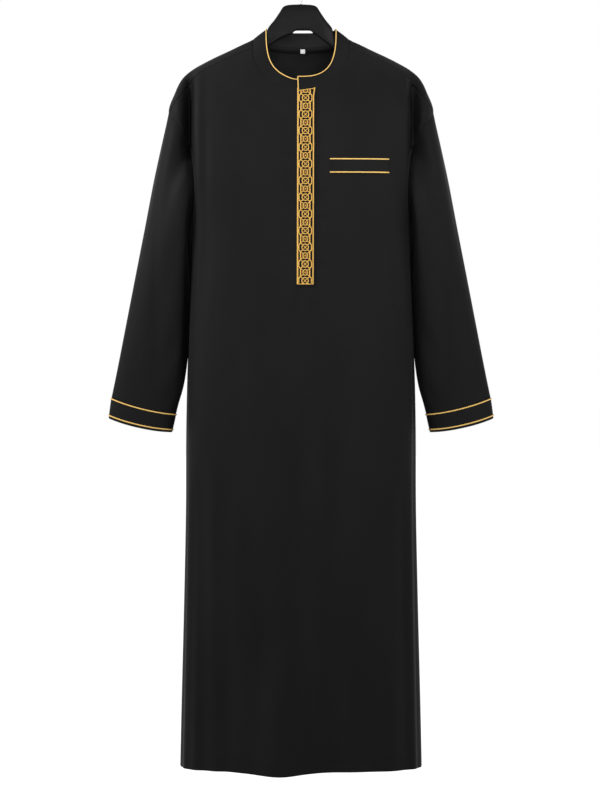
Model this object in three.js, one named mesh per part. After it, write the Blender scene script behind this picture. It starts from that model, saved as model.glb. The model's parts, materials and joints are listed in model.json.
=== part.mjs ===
// A long black thobe hanging on a broad-shouldered hanger.
// Millimetres. +X is towards the wearer's left sleeve, -Y is the front, +Z is up.
// The origin is the inside of the hook's crown, where a rod or a wall hook carries the garment.
//
// The trunk is one set of horizontal sections. A place on it is given by its height z and by the
// share b of the way round: 0 is the centre of the back, 1 and -1 are the sides and the crests of
// the shoulders, 2 and -2 are the centre of the front. Every panel, seam and trim is cut from it.
import * as THREE from "three";

// Cloth and seams
const CLOTH_WALL = 1.6;
const STAND_WALL = 2.2; // collar and cuffs are interlined
const TRIM_WALL = 1.3;
const LABEL_WALL = 1.0;
const SEAM_GAP = 0.3;
const SEAM_PULL = 0.18; // each edge's own share of the gap, and a little for seams that run aslant
const LAY_GAP = 0.5; // under what lies on a panel
const SLEEVE_GAP = 0.6; // the sleeve turns sharply off the trunk at its seam
const COLLAR_TRIM_GAP = 0.55;

// Heights of the trunk
const HEM_FRONT = -1480.5;
const HEM_SIDE = -1485;
const HEM_DIP = { share: -0.14, width: 0.2, drop: 4 }; // where the front's hem bellies forward
const UNDERARM = -500;
const ARMHOLE_TOP = -264;
const ARMHOLE_FRONT = 60;
const ARMHOLE_BACK = 52;
const SHOULDER_SEAM_ANGLE = 20; // degrees forward of the armhole's top
const SHOULDER_SEAM_CURVE = { drop: 1.45, reach: 0.55 };

// Neckline, where the collar is sewn on, and the collar's top edge
const NECK_HALF_WIDTH = 91;
const NECK_SIDE = -128;
const NECK_FRONT = -226;
const NECK_BACK = -138;
const NECK_POWER = 2.6;
const SHOULDER_SEAM_AT_NECK = 84; // degrees round from the centre of the front
const COLLAR_HALF_WIDTH = 65;
const COLLAR_FRONT = 60;
const COLLAR_BACK = 50;
const COLLAR_SIDE_TOP = -107;
const COLLAR_FRONT_TOP = -204;
const COLLAR_OVER_END = -3; // degrees, the wearer's left end, on top
const COLLAR_UNDER_END = 372; // the other end, tucked under it

// Trims
const PIPING_WIDTH = 3.2;
const PIPING_FROM_CUFF_EDGE = 5.5;
const PLACKET = { left: -8.6, right: 25.4, top: -229.5, bottom: -592.5 };
const EMBROIDERY = { left: -7, right: 24.2, top: -230.5, bottom: -589 };
const POCKET_WELT = { left: 52, right: 162, top: -358, bottom: -385 };
const SIZE_LABEL = { left: -1.5, right: 8, top: -135.5, bottom: -145 };

// How finely each piece is divided
const SKIRT_ROWS = 11;
const ARMHOLE_ROWS = { front: 12, back: 15 };
const SHOULDER_ROWS = 7;
const FRONT_COLUMNS = 24;
const BACK_COLUMNS = { middle: 14, side: 4, middleShare: 0.78 }; // closer where the back wraps the crest
const CREST_STEP = 4; // least rise from one row of the back to the next
const ARC_SAMPLES = 96;
const NORMAL_STEP = { b: 0.02, z: 3 };
const LATE_RISE = 6; // how late the back's rows bend up to the neckline
const EDGE_DROP = 12; // and how near to its edge they bend down to the armhole
const HALVINGS = 40;

const COLUMNS = (names, ...rows) =>
  rows.map((row) => Object.fromEntries(names.map((name, i) => [name, row[i]])));

// Trunk sections: half width, depth in front of and behind the mid-plane, and how square they are.
const TRUNK = COLUMNS(
  ["z", "halfWidth", "front", "back", "power"],
  [-100, 50, 2, 35, 2.2],
  [-128, 91, 5, 51, 2.2],
  [-139, 113, 14, 56.5, 2.1],
  [-150, 135.5, 24, 61, 2.1],
  [-161, 159, 33, 64, 2.1],
  [-172, 180.5, 41, 66, 2.1],
  [-184, 201.5, 48, 68, 2.2],
  [-195, 215.5, 54, 69, 2.3],
  [-206, 224.5, 59, 70, 2.4],
  [-226, 234, 66, 72, 2.6],
  [-264, 246.5, 76, 73, 2.9],
  [-300, 234, 81, 74, 3.2],
  [-333, 222, 84, 75, 3.6],
  [-385, 212, 86.5, 76, 4.0],
  [-440, 206, 87, 77, 3.8],
  [-500, 203, 87, 78, 3.5],
  [-632, 207, 88, 80, 3.3],
  [-744, 211.5, 88, 82, 3.2],
  [-860, 214, 88, 84, 3.1],
  [-1000, 214.5, 89, 87, 3.0],
  [-1180, 218, 91, 90, 2.9],
  [-1362, 222.5, 94, 94, 2.8],
  [-1500, 225.5, 96, 97, 2.8],
);

// Soft folds of the trunk. depth pushes the cloth in, a negative one lets it stand out.
const FOLDS = COLUMNS(
  ["side", "x", "lean", "width", "depth", "from", "to"],
  ["front", -184, 0.010, 15, 7, -860, -1470],
  ["front", -146, 0.012, 19, 6, -900, -1480],
  ["front", -75, 0.004, 21, 4, -1010, -1330],
  ["front", -2, 0.006, 25, 7, -780, -1400],
  ["front", 62, -0.004, 27, 7, -800, -1420],
  ["front", -40, 0.0, 48, -20, -1230, -1490],
  ["front", 128, 0.010, 30, 4, -1080, -1480],
  ["front", 186, 0.006, 15, 6, -900, -1460],
  ["back", -168, -0.010, 18, 8, -760, -1480],
  ["back", -112, 0.006, 24, 7, -620, -1450],
  ["back", -38, 0.004, 30, 9, -420, -1480],
  ["back", 44, -0.006, 27, 8, -520, -1480],
  ["back", 104, 0.010, 22, 7, -700, -1400],
  ["back", 172, 0.006, 17, 8, -820, -1480],
);
const FOLD_FADE = 150;
const TIP_FADE = 30; // folds die out this near to a side or a crest

// Where the cloth falls off the hanger's ends, a valley runs down between body and sleeve.
const VALLEY = { x: 211, width: 15, front: 0.24, back: 0.18, from: -190, to: -560, fade: 70 };

// Sleeve rings, from the armhole to the cuff seam: the outer and the inner point of each, how far
// the inner one stands off the trunk's side, and the depth in front and behind.
const SLEEVE = COLUMNS(
  ["outerX", "outerZ", "clear", "innerZ", "front", "back", "seam"],
  [246.5, -264, 0, -500, 48, 44, 1],
  [252, -288, 1.0, -514, 58, 54, 0.62],
  [261.5, -328, 1.1, -543, 63, 60, 0.28],
  [276, -394, 1.2, -592, 60, 60, 0.08],
  [292.5, -480, 1.3, -652, 53, 55, 0],
  [310.5, -572, 2.2, -716, 44, 48, 0],
  [328, -662, 6.5, -770, 35, 39, 0],
  [344, -744, 16.0, -808, 28, 31, 0],
  [355, -797, 20.5, -827, 24, 26, 0],
);
const CUFF_END = { outerX: 360, outerZ: -835, innerX: 241.5, innerZ: -861, front: 23, back: 24 };
const SLEEVE_POWER = 2.2;
const CUFF_SAG = 5;
const SLEEVE_BACK_SHIFT = 6;

// The hanger, from its neck to the end of an arm: top edge, lower edge and half thickness. Past
// the collar its top edge follows the shoulder from below.
const HANGER = COLUMNS(
  ["x", "top", "bottom", "half"],
  [0, -62, -111.5, 6.5],
  [14, -62, -112.5, 6.5],
  [25, -62.4, -116, 6.5],
  [28.5, -65, -118, 6.5],
  [33, -71.5, -121, 6.5],
  [47, -90, -131, 6.5],
  [59.5, -107.5, -141, 5.5],
  [62, -114, -143, 5],
  [66, -124.5, -145, 4.5],
  [76, -131.5, -151, 4.5],
  [91, -139, -159, 5],
  [105, null, -165, 8],
  [118, null, -171, 9.5],
  [135, null, -179, 12],
  [155, null, -188, 15],
  [175, null, -198, 18],
  [190, null, -206, 19],
  [198, -187.5, -209, 16.5],
  [203, -193, -208, 12.5],
  [206, -197, -204.5, 7],
);
const HANGER_UNDER_CREST = 4.3;
const HANGER_SIDES = 10;
const HANGER_CLEAR = 2.8;
const HOOK_WIRE = 4;
const HOOK_RADIUS = 20; // inside
const HOOK_STEM_END = -63.2; // the hanger's flat top

// Numbers and curves

const radians = (degrees) => (degrees * Math.PI) / 180;
const mix = (a, b, t) => a + (b - a) * t;
const clamp01 = (t) => Math.min(1, Math.max(0, t));
const smooth = (t) => clamp01(t) ** 2 * (3 - 2 * clamp01(t));

// Reads every column of a table at a height, on a smooth curve through its rows.
function readTable(table, z) {
  const last = table.length - 2;
  let i = 0;
  while (i < last && z < table[i + 1].z) i += 1;
  const rows = [table[Math.max(0, i - 1)], table[i], table[i + 1], table[Math.min(last + 1, i + 2)]];
  const span = rows[2].z - rows[1].z;
  const t = clamp01((z - rows[1].z) / span);
  const slope = (a, b, key) => (b.z === a.z ? 0 : (b[key] - a[key]) / (b.z - a.z));
  const read = (key) => {
    const before = slope(rows[0], rows[2], key) * span;
    const after = slope(rows[1], rows[3], key) * span;
    const [p, q] = [rows[1][key], rows[2][key]];
    return (
      p * (1 + 2 * t) * (1 - t) ** 2 + before * t * (1 - t) ** 2 +
      q * t * t * (3 - 2 * t) + after * t * t * (t - 1)
    );
  };
  return Object.fromEntries(Object.keys(rows[1]).map((key) => [key, key === "z" ? z : read(key)]));
}

// A quarter of a rounded outline, from its middle (0, depth) to its tip (halfWidth, 0), by length.
function quarterOutline(halfWidth, depth, power) {
  const points = [];
  let length = 0;
  for (let i = 0; i <= ARC_SAMPLES; i += 1) {
    const angle = (Math.PI / 2) * (i / ARC_SAMPLES);
    const x = halfWidth * Math.sin(angle) ** (2 / power);
    const y = i === ARC_SAMPLES ? 0 : depth * Math.cos(angle) ** (2 / power);
    const previous = points[i - 1];
    if (previous) length += Math.hypot(x - previous.x, y - previous.y);
    points.push({ x, y, length });
  }
  return points;
}

// The point of such an outline where the key (x, y or length) has the value, with its share of length.
function outlineWhere(points, key, value) {
  const rising = points[points.length - 1][key] > points[0][key];
  let i = 0;
  while (i < points.length - 2 && (rising ? points[i + 1][key] < value : points[i + 1][key] > value)) i += 1;
  const [p, q] = [points[i], points[i + 1]];
  const t = clamp01((value - p[key]) / (q[key] - p[key]));
  const whole = points[points.length - 1].length;
  return { x: mix(p.x, q.x, t), y: mix(p.y, q.y, t), share: mix(p.length, q.length, t) / whole };
}

// The trunk's surface

function foldPush(side, x, z) {
  let push = 0;
  for (const fold of FOLDS) {
    if (fold.side !== side) continue;
    const centre = fold.x + fold.lean * (fold.from - z);
    const along = smooth((fold.from - z) / FOLD_FADE) * smooth((z - fold.to) / FOLD_FADE + 1);
    push += fold.depth * along * Math.exp(-(((x - centre) / fold.width) ** 2));
  }
  return push;
}

function valleyScale(side, x, z) {
  const along = smooth((VALLEY.from - z) / VALLEY.fade) * smooth((z - VALLEY.to) / VALLEY.fade);
  return 1 - VALLEY[side] * along * Math.exp(-(((Math.abs(x) - VALLEY.x) / VALLEY.width) ** 2));
}

function quarterAt(side, z) {
  const section = readTable(TRUNK, z);
  return quarterOutline(section.halfWidth, section[side], section.power);
}

function trunkPoint(b, z) {
  const wrapped = b > 2 ? b - 4 : b < -2 ? b + 4 : b;
  const side = Math.abs(wrapped) > 1 ? "front" : "back";
  const share = side === "front" ? 2 - Math.abs(wrapped) : Math.abs(wrapped);
  const quarter = quarterAt(side, z);
  const place = outlineWhere(quarter, "length", share * quarter[quarter.length - 1].length);
  const x = Math.sign(wrapped) * place.x;
  const tipFade = smooth(place.y / TIP_FADE);
  const y = place.y * valleyScale(side, x, z) - foldPush(side, x, z) * tipFade;
  return new THREE.Vector3(x, side === "front" ? -y : y, z);
}

function trunkNormal(b, z) {
  const { b: stepB, z: stepZ } = NORMAL_STEP;
  const around = trunkPoint(b + stepB, z).sub(trunkPoint(b - stepB, z));
  const up = trunkPoint(b, z + stepZ).sub(trunkPoint(b, z - stepZ));
  return around.cross(up).normalize().negate();
}

// Seam lines, as places {b, z} on the trunk, for the wearer's left (+X) side

function armholeAt(degrees) {
  const half = (ARMHOLE_TOP - UNDERARM) / 2;
  const z = UNDERARM + half + half * Math.cos(radians(degrees));
  const side = degrees > 0 ? "front" : "back";
  const reach = side === "front" ? ARMHOLE_FRONT : ARMHOLE_BACK;
  const y = reach * Math.abs(Math.sin(radians(degrees)));
  const { share } = outlineWhere(quarterAt(side, z), "y", y);
  return { b: side === "front" ? 2 - share : share, z };
}

function necklineAt(degrees) {
  if (degrees > 90) {
    const t = (degrees - 90) / 90;
    return { b: 1 - t, z: mix(NECK_SIDE, NECK_BACK, smooth(t)) };
  }
  const drop = Math.cos(radians(degrees)) ** (2 / NECK_POWER);
  const z = mix(NECK_SIDE, NECK_FRONT, drop);
  const x = NECK_HALF_WIDTH * Math.sin(radians(degrees)) ** (2 / NECK_POWER);
  return { b: 2 - outlineWhere(quarterAt("front", z), "x", x).share, z };
}

// The shoulder seam lies forward of the crest; t runs from the neckline to the armhole.
function shoulderSeamAt(t) {
  const neck = necklineAt(SHOULDER_SEAM_AT_NECK);
  const arm = armholeAt(SHOULDER_SEAM_ANGLE);
  const down = t ** SHOULDER_SEAM_CURVE.drop;
  const z = mix(neck.z, arm.z, down);
  const reach = ({ b, z: height }) => Math.abs(trunkPoint(b, height).x) / readTable(TRUNK, height).halfWidth;
  const x = mix(reach(neck), reach(arm), down ** SHOULDER_SEAM_CURVE.reach) * readTable(TRUNK, z).halfWidth;
  if (t === 0) return neck;
  if (t === 1) return arm;
  return { b: 2 - outlineWhere(quarterAt("front", z), "x", x).share, z };
}

const steps = (count, from, to) => Array.from({ length: count + 1 }, (_, i) => mix(from, to, i / count));
const mirrored = ({ b, z }) => ({ b: -b, z });

// The neckline all round, in degrees from the centre of the front towards the wearer's left.
function neckPlace(degrees) {
  const turn = ((degrees % 360) + 360) % 360;
  return turn > 180 ? mirrored(necklineAt(360 - turn)) : necklineAt(turn);
}

const shoulderSeamUp = steps(SHOULDER_ROWS, 1, 0).slice(1).map(shoulderSeamAt);
const frontEdge = [...steps(ARMHOLE_ROWS.front, 180, SHOULDER_SEAM_ANGLE).map(armholeAt), ...shoulderSeamUp];
const backEdge = [...steps(ARMHOLE_ROWS.back, -180, SHOULDER_SEAM_ANGLE).map(armholeAt), ...shoulderSeamUp];

const frontShares = steps(FRONT_COLUMNS, -1, 1);
const backShares = [
  ...steps(BACK_COLUMNS.side, -1, -BACK_COLUMNS.middleShare),
  ...steps(BACK_COLUMNS.middle, -BACK_COLUMNS.middleShare, BACK_COLUMNS.middleShare).slice(1, -1),
  ...steps(BACK_COLUMNS.side, BACK_COLUMNS.middleShare, 1),
];
const neckFrontAngles = frontShares.map((share) => share * SHOULDER_SEAM_AT_NECK);
const neckBackAngles = backShares.map((share) => {
  const seamB = necklineAt(SHOULDER_SEAM_AT_NECK).b;
  const b = Math.abs(share) * seamB;
  const past = (b - 1) / (seamB - 1);
  const degrees = b > 1 ? mix(90, SHOULDER_SEAM_AT_NECK, past) : 90 + 90 * (1 - b);
  return share < 0 ? 360 - degrees : degrees;
});

const hemDip = (share) => HEM_DIP.drop * Math.exp(-(((share - HEM_DIP.share) / HEM_DIP.width) ** 2));
const skirtRows = (shares, dip) => steps(SKIRT_ROWS, 0, 1).map((t) => shares.map((share) =>
  ({ share, z: mix(mix(HEM_FRONT, HEM_SIDE, share * share) - dip(share), UNDERARM, t) })));

// The front: even rows to the underarm, then a patch whose sides are the armhole and the shoulder
// seam and whose top is the neckline. Shares are counted from its own centre.
function frontPlaces() {
  const place = ({ share, z }) => ({ b: (share < 0 ? -1 : 1) * (2 - Math.abs(share)), z });
  const top = neckFrontAngles.map(neckPlace).map(({ b, z }) => ({ share: Math.sign(b) * (2 - Math.abs(b)), z }));
  const corner = top[top.length - 1];
  const yoke = frontEdge.slice(1).map(({ b, z }) => {
    const t = (z - UNDERARM) / (corner.z - UNDERARM);
    const off = 2 - b - mix(1, corner.share, t);
    return frontShares.map((share, i) => ({
      share: mix(share, top[i].share, t) + off * share,
      z: mix(UNDERARM, top[i].z, t),
    }));
  });
  return [...skirtRows(frontShares, hemDip), ...yoke].map((row) => row.map(place));
}

// The back: level rows as wide as its edge allows, which run over the crest of each shoulder to the
// seam in front of it. One column is drawn onto the crest. The last rows rise to the neckline.
function backPlaces() {
  const top = neckBackAngles.map(neckPlace);
  const corner = top[top.length - 1];
  let level = UNDERARM;
  const yoke = backEdge.slice(1).map((edge, j, all) => {
    level = Math.max(edge.z, level + CREST_STEP);
    const late = ((j + 1) / all.length) ** LATE_RISE;
    const row = backShares.map((share, i) => ({
      b: share * edge.b + (top[i].b - share * corner.b) * late,
      z: level + (top[i].z - corner.z) * late + (edge.z - level) * Math.abs(share) ** EDGE_DROP,
    }));
    if (edge.b <= 1 || j === all.length - 1) return row;
    const gap = (b) => Math.abs(Math.abs(b) - 1);
    const nearest = row.slice(1, -1).reduce((least, { b }) => Math.min(least, gap(b)), 1);
    return row.map(({ b, z }, i) =>
      ({ b: i > 0 && i < row.length - 1 && gap(b) < nearest + 1e-6 ? Math.sign(b) : b, z }));
  });
  const skirt = skirtRows(backShares, () => 0).map((row) => row.map(({ share, z }) => ({ b: share, z })));
  return [...skirt, ...yoke];
}

// Closed solids

function solidMesh(name, vertices, triangles, material) {
  const volume = triangles.reduce((sum, [i, j, k]) => {
    const [p, q, r] = [vertices[i], vertices[j], vertices[k]];
    return sum + p.dot(q.clone().cross(r));
  }, 0);
  const facing = volume > 0 ? triangles : triangles.map(([i, j, k]) => [i, k, j]);
  const geometry = new THREE.BufferGeometry();
  const positions = vertices.flatMap((v) => [v.x, v.y, v.z]);
  geometry.setAttribute("position", new THREE.Float32BufferAttribute(positions, 3));
  geometry.setIndex(facing.flat());
  geometry.computeVertexNormals();
  const mesh = new THREE.Mesh(geometry, material);
  mesh.name = name;
  return mesh;
}

// A wall with an outer grid of points and an inner one, closed along its edges. A tube's rows join
// their own ends.
function wall(name, outer, inner, material, tube = false) {
  const [rows, columns] = [outer.length, outer[0].length];
  const vertices = [...outer.flat(), ...inner.flat()];
  const at = (layer, j, i) => layer * rows * columns + j * columns + (i % columns);
  const triangles = [];
  const quad = (a, b, c, d) => triangles.push([a, b, c], [a, c, d]);
  const spans = tube ? columns : columns - 1;
  for (let j = 0; j < rows - 1; j += 1) {
    for (let i = 0; i < spans; i += 1) {
      quad(at(0, j, i), at(0, j, i + 1), at(0, j + 1, i + 1), at(0, j + 1, i));
      quad(at(1, j, i), at(1, j + 1, i), at(1, j + 1, i + 1), at(1, j, i + 1));
    }
  }
  for (let i = 0; i < spans; i += 1) {
    quad(at(0, 0, i), at(1, 0, i), at(1, 0, i + 1), at(0, 0, i + 1));
    quad(at(0, rows - 1, i), at(0, rows - 1, i + 1), at(1, rows - 1, i + 1), at(1, rows - 1, i));
  }
  for (let j = 0; !tube && j < rows - 1; j += 1) {
    quad(at(0, j, 0), at(0, j + 1, 0), at(1, j + 1, 0), at(1, j, 0));
    quad(at(0, j, spans), at(1, j, spans), at(1, j + 1, spans), at(0, j + 1, spans));
  }
  return solidMesh(name, vertices, triangles, material);
}

const moved = (points, directions, distance) =>
  points.map((row, j) => row.map((p, i) => p.clone().addScaledVector(directions[j][i], distance)));

// Outward directions of a grid of points, worked out from its neighbours.
function gridNormals(points, tube, inwards) {
  const [rows, columns] = [points.length, points[0].length];
  const around = (i) => (tube ? (i + columns) % columns : Math.min(columns - 1, Math.max(0, i)));
  return points.map((row, j) =>
    row.map((p, i) => {
      const along = points[Math.min(rows - 1, j + 1)][i].clone().sub(points[Math.max(0, j - 1)][i]);
      const across = row[around(i + 1)].clone().sub(row[around(i - 1)]);
      const normal = across.cross(along).normalize();
      return normal.dot(p.clone().sub(inwards(p))) < 0 ? normal.negate() : normal;
    }));
}

// Materials

function material(color, roughness, metalness = 0) {
  return new THREE.MeshStandardMaterial({ color, roughness, metalness });
}

const CLOTH = material(0x212123, 0.85);
const CLOTH_TRIM = material(0x1d1d1f, 0.85);
const GOLD_THREAD = material(0xdfae50, 0.5);
const LABEL_CLOTH = material(0xf2f2ef, 0.8);
const HANGER_PLASTIC = material(0x262627, 0.45);
const HOOK_STEEL = material(0x8d8f92, 0.3, 1);

// Front and back panels

function panel(name, places) {
  const points = places.map((row) => row.map(({ b, z }) => trunkPoint(b, z)));
  const normals = places.map((row) => row.map(({ b, z }) => trunkNormal(b, z)));
  const [rows, last] = [points.length, points[0].length - 1];
  const shrunk = points.map((row) => row.map((p) => p.clone()));
  const pull = (j, i, other) => shrunk[j][i].addScaledVector(
    other.clone().sub(points[j][i]).normalize(), SEAM_PULL);
  points.forEach((row, j) => {
    pull(j, 0, row[1]);
    pull(j, last, row[last - 1]);
  });
  points[0].forEach((_, i) => pull(rows - 1, i, points[rows - 2][i]));
  const mesh = wall(name, shrunk, moved(shrunk, normals, -CLOTH_WALL), CLOTH);
  return { mesh, points, normals };
}

const front = panel("front_panel", frontPlaces());
const back = panel("back_panel", backPlaces());

// Sleeves and cuffs

// Angles round the armhole, which every ring of the sleeve repeats, so that seams meet point by point.
const ringAngles = [
  ...steps(ARMHOLE_ROWS.front, 180, SHOULDER_SEAM_ANGLE),
  ...steps(ARMHOLE_ROWS.back, SHOULDER_SEAM_ANGLE, -180).slice(1, -1),
];

function sleeveRing({ outerX, outerZ, innerX, innerZ, front: depthFront, back: depthBack }, shift) {
  return ringAngles.map((degrees) => {
    const [cos, sin] = [Math.cos(radians(degrees)), Math.sin(radians(degrees))];
    const across = (1 - Math.sign(cos) * Math.abs(cos) ** (2 / SLEEVE_POWER)) / 2;
    const depth = Math.abs(sin) ** (2 / SLEEVE_POWER);
    const y = sin > 0 ? -depthFront * depth : depthBack * depth;
    return new THREE.Vector3(mix(outerX, innerX, across), y + shift, mix(outerZ, innerZ, across));
  });
}

function sleevePoints() {
  const seam = ringAngles.map((degrees) => {
    const { b, z } = armholeAt(degrees);
    return trunkPoint(b, z).addScaledVector(trunkNormal(b, z), SLEEVE_GAP);
  });
  const first = { ...SLEEVE[0], innerX: readTable(TRUNK, UNDERARM).halfWidth };
  const plain = sleeveRing(first, 0);
  return SLEEVE.map((row, j) => {
    const innerX = readTable(TRUNK, row.innerZ).halfWidth + row.clear;
    const ring = sleeveRing({ ...row, innerX }, SLEEVE_BACK_SHIFT * smooth(j / 4));
    if (j === 0) return seam;
    return ring.map((p, i) => p.addScaledVector(seam[i].clone().sub(plain[i]), row.seam));
  });
}

// Moves a ring's points a little way towards another ring.
const towards = (ring, other, distance) =>
  ring.map((p, i) => p.clone().addScaledVector(other[i].clone().sub(p).normalize(), distance));

const ringMiddle = (ring) =>
  ring.reduce((sum, p) => sum.add(p), new THREE.Vector3()).divideScalar(ring.length);

const onSide = (points, sign) => points.map((row) => row.map((p) => new THREE.Vector3(sign * p.x, p.y, p.z)));

function tubeNormals(points) {
  return points.map((ring, j) => gridNormals(points, true, () => ringMiddle(ring))[j]);
}

const sleeve = sleevePoints();
const cuffTop = sleeve[sleeve.length - 1];
const cuffBottom = sleeveRing(CUFF_END, SLEEVE_BACK_SHIFT);
const sagged = (ring) => ring.map((p, i) => {
  const sag = CUFF_SAG * Math.abs(Math.sin(radians(ringAngles[i]))) ** 2;
  return new THREE.Vector3(p.x, p.y, p.z - sag);
});
sleeve[sleeve.length - 1] = sagged(cuffTop);
const cuff = [sleeve[sleeve.length - 1], sagged(cuffBottom)];

function sleeveMesh(name, sign) {
  const rings = [...sleeve];
  rings[0] = towards(rings[0], rings[1], SEAM_PULL);
  rings[rings.length - 1] = towards(rings[rings.length - 1], rings[rings.length - 2], SEAM_GAP);
  const points = onSide(rings, sign);
  return wall(name, points, moved(points, tubeNormals(points), -CLOTH_WALL), CLOTH, true);
}

function cuffMesh(name, sign) {
  const points = onSide(cuff, sign);
  return wall(name, points, moved(points, tubeNormals(points), -STAND_WALL), CLOTH_TRIM, true);
}

// Piping lies on the cuff as a flat ring between two heights, measured down from the cuff's top.
function cuffPiping(name, sign, from, to) {
  const length = cuff[0][0].distanceTo(cuff[1][0]);
  const points = onSide([from, to].map((d) => towards(cuff[0], cuff[1], 0).map((p, i) =>
    p.lerp(cuff[1][i], d / length))), sign);
  const normals = tubeNormals(points);
  const below = moved(points, normals, SEAM_GAP);
  return wall(name, moved(below, normals, TRIM_WALL), below, GOLD_THREAD, true);
}

// Collar

const wholeTurn = [
  ...neckFrontAngles.filter((degrees) => degrees >= 0),
  ...[...neckBackAngles].reverse().slice(1, -1),
  ...neckFrontAngles.filter((degrees) => degrees <= 0).map((degrees) => degrees + 360),
];
const collarAngles = [COLLAR_OVER_END, ...wholeTurn, COLLAR_UNDER_END];

function collarTopPoint(degrees) {
  const [sin, cos] = [Math.sin(radians(degrees)), Math.cos(radians(degrees))];
  const curve = (value) => Math.sign(value) * Math.abs(value) ** (2 / NECK_POWER);
  const forward = Math.max(0, curve(cos));
  const drop = forward * (1.25 - 0.25 * forward);
  return new THREE.Vector3(
    COLLAR_HALF_WIDTH * curve(sin),
    cos > 0 ? -COLLAR_FRONT * forward : -COLLAR_BACK * curve(cos),
    mix(COLLAR_SIDE_TOP, COLLAR_FRONT_TOP, drop),
  );
}

// The end that tucks under runs inside the other one.
const UNDERLAP_INSET = STAND_WALL + LAY_GAP + 0.2;
const UNDERLAP_FROM = 338;
const collarRows = [0, 1].map((row) => collarAngles.map((degrees) => {
  const { b, z } = neckPlace(degrees);
  const foot = trunkPoint(b, z);
  const top = collarTopPoint(degrees);
  return row === 0 ? foot.addScaledVector(top.clone().sub(foot).normalize(), SEAM_GAP) : top;
}));
const collarNormals = gridNormals(collarRows, false, (p) => new THREE.Vector3(0, 0, p.z - 10));
const collarOuter = collarRows.map((row, j) => row.map((p, i) => {
  const tuck = smooth((collarAngles[i] - UNDERLAP_FROM) / (360 - UNDERLAP_FROM - 4));
  return p.clone().addScaledVector(collarNormals[j][i], -UNDERLAP_INSET * tuck);
}));
const collar = wall("collar", collarOuter, moved(collarOuter, collarNormals, -STAND_WALL), CLOTH_TRIM);

// A flat trim on the collar's outer face, between two shares of its height and some of its columns.
function collarTrim(name, lowShare, columns) {
  const pick = (share) => columns.map((i) => collarOuter[0][i].clone().lerp(collarOuter[1][i], share));
  const normals = [collarNormals[0], collarNormals[1]].map((row) => columns.map((i) => row[i]));
  const below = moved([pick(lowShare), pick(1)], normals, COLLAR_TRIM_GAP);
  return wall(name, moved(below, normals, TRIM_WALL), below, GOLD_THREAD);
}

const collarHeight = collarOuter[0][1].distanceTo(collarOuter[1][1]);
const edgeShare = 1 - PIPING_WIDTH / collarHeight;
// Under the overlap the piping stops short of the end that lies on it.
const edgeColumns = collarAngles.flatMap((degrees, i) => (degrees < 359 ? [i] : []));
const collarPiping = collarTrim("collar_piping", edgeShare, edgeColumns);

const END_PIPING = { from: 0.02, below: 0.03 }; // shares of the collar's height
function collarEndPiping() {
  const side = (x) => [END_PIPING.from, edgeShare - END_PIPING.below].map((share) => {
    const p = collarOuter[0][0].clone().lerp(collarOuter[1][0], share);
    const q = collarOuter[0][2].clone().lerp(collarOuter[1][2], share);
    return p.addScaledVector(q.sub(p).normalize(), x);
  });
  const points = [side(0), side(PIPING_WIDTH)];
  const normals = points.map((row) => row.map((_, i) => collarNormals[i][0]));
  const below = moved(points, normals, SEAM_GAP);
  return wall("collar_end_piping", moved(below, normals, TRIM_WALL), below, GOLD_THREAD);
}

// What lies on a panel

// The panel's own column of points at some x, as facets carry it.
function panelColumn({ points, normals }, x) {
  return points.map((row, j) => {
    let i = 0;
    while (i < row.length - 2 && row[i + 1].x < x) i += 1;
    const t = (x - row[i].x) / (row[i + 1].x - row[i].x);
    return { p: row[i].clone().lerp(row[i + 1], t), n: normals[j][i].clone().lerp(normals[j][i + 1], t) };
  });
}

function columnPoint(column, z) {
  let j = 0;
  while (j < column.length - 2 && column[j + 1].p.z < z) j += 1;
  const t = (z - column[j].p.z) / (column[j + 1].p.z - column[j].p.z);
  return { p: column[j].p.clone().lerp(column[j + 1].p, t), n: column[j].n.clone().lerp(column[j + 1].n, t) };
}

// A flat piece on a panel, with a row of its own wherever the panel has one.
const LEAST_ROW = 0.02;

function onPanel(name, panelPart, box, lift, thickness, material_, columns = 1) {
  const xs = steps(columns, box.left, box.right);
  const middle = panelColumn(panelPart, (box.left + box.right) / 2);
  const rowShares = middle.map(({ p }) => (p.z - box.bottom) / (box.top - box.bottom));
  const shares = [0, ...rowShares.filter((share) => share > LEAST_ROW && share < 1 - LEAST_ROW), 1];
  const grid = xs.map((x) => {
    const column = panelColumn(panelPart, x);
    return shares.map((share) => columnPoint(column, mix(box.bottom, box.top, share)));
  });
  const points = grid.map((row) => row.map(({ p }) => p));
  const normals = grid.map((row) => row.map(({ n }) => n.normalize()));
  const below = moved(points, normals, lift);
  return wall(name, moved(below, normals, thickness), below, material_);
}

const WELT_COLUMNS = 9;
const weltLift = LAY_GAP + CLOTH_WALL + SEAM_GAP;
const weltPiping = (top) => ({ ...POCKET_WELT, top, bottom: top - PIPING_WIDTH });
const labelSide = { ...back, normals: back.normals.map((row) => row.map((n) => n.clone().negate())) };

// Hanger and hook

function crestHeight(x) {
  let [low, high] = [ARMHOLE_TOP, NECK_SIDE + 20];
  for (let i = 0; i < HALVINGS; i += 1) {
    const z = (low + high) / 2;
    if (readTable(TRUNK, z).halfWidth > x) low = z;
    else high = z;
  }
  return low;
}

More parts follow.
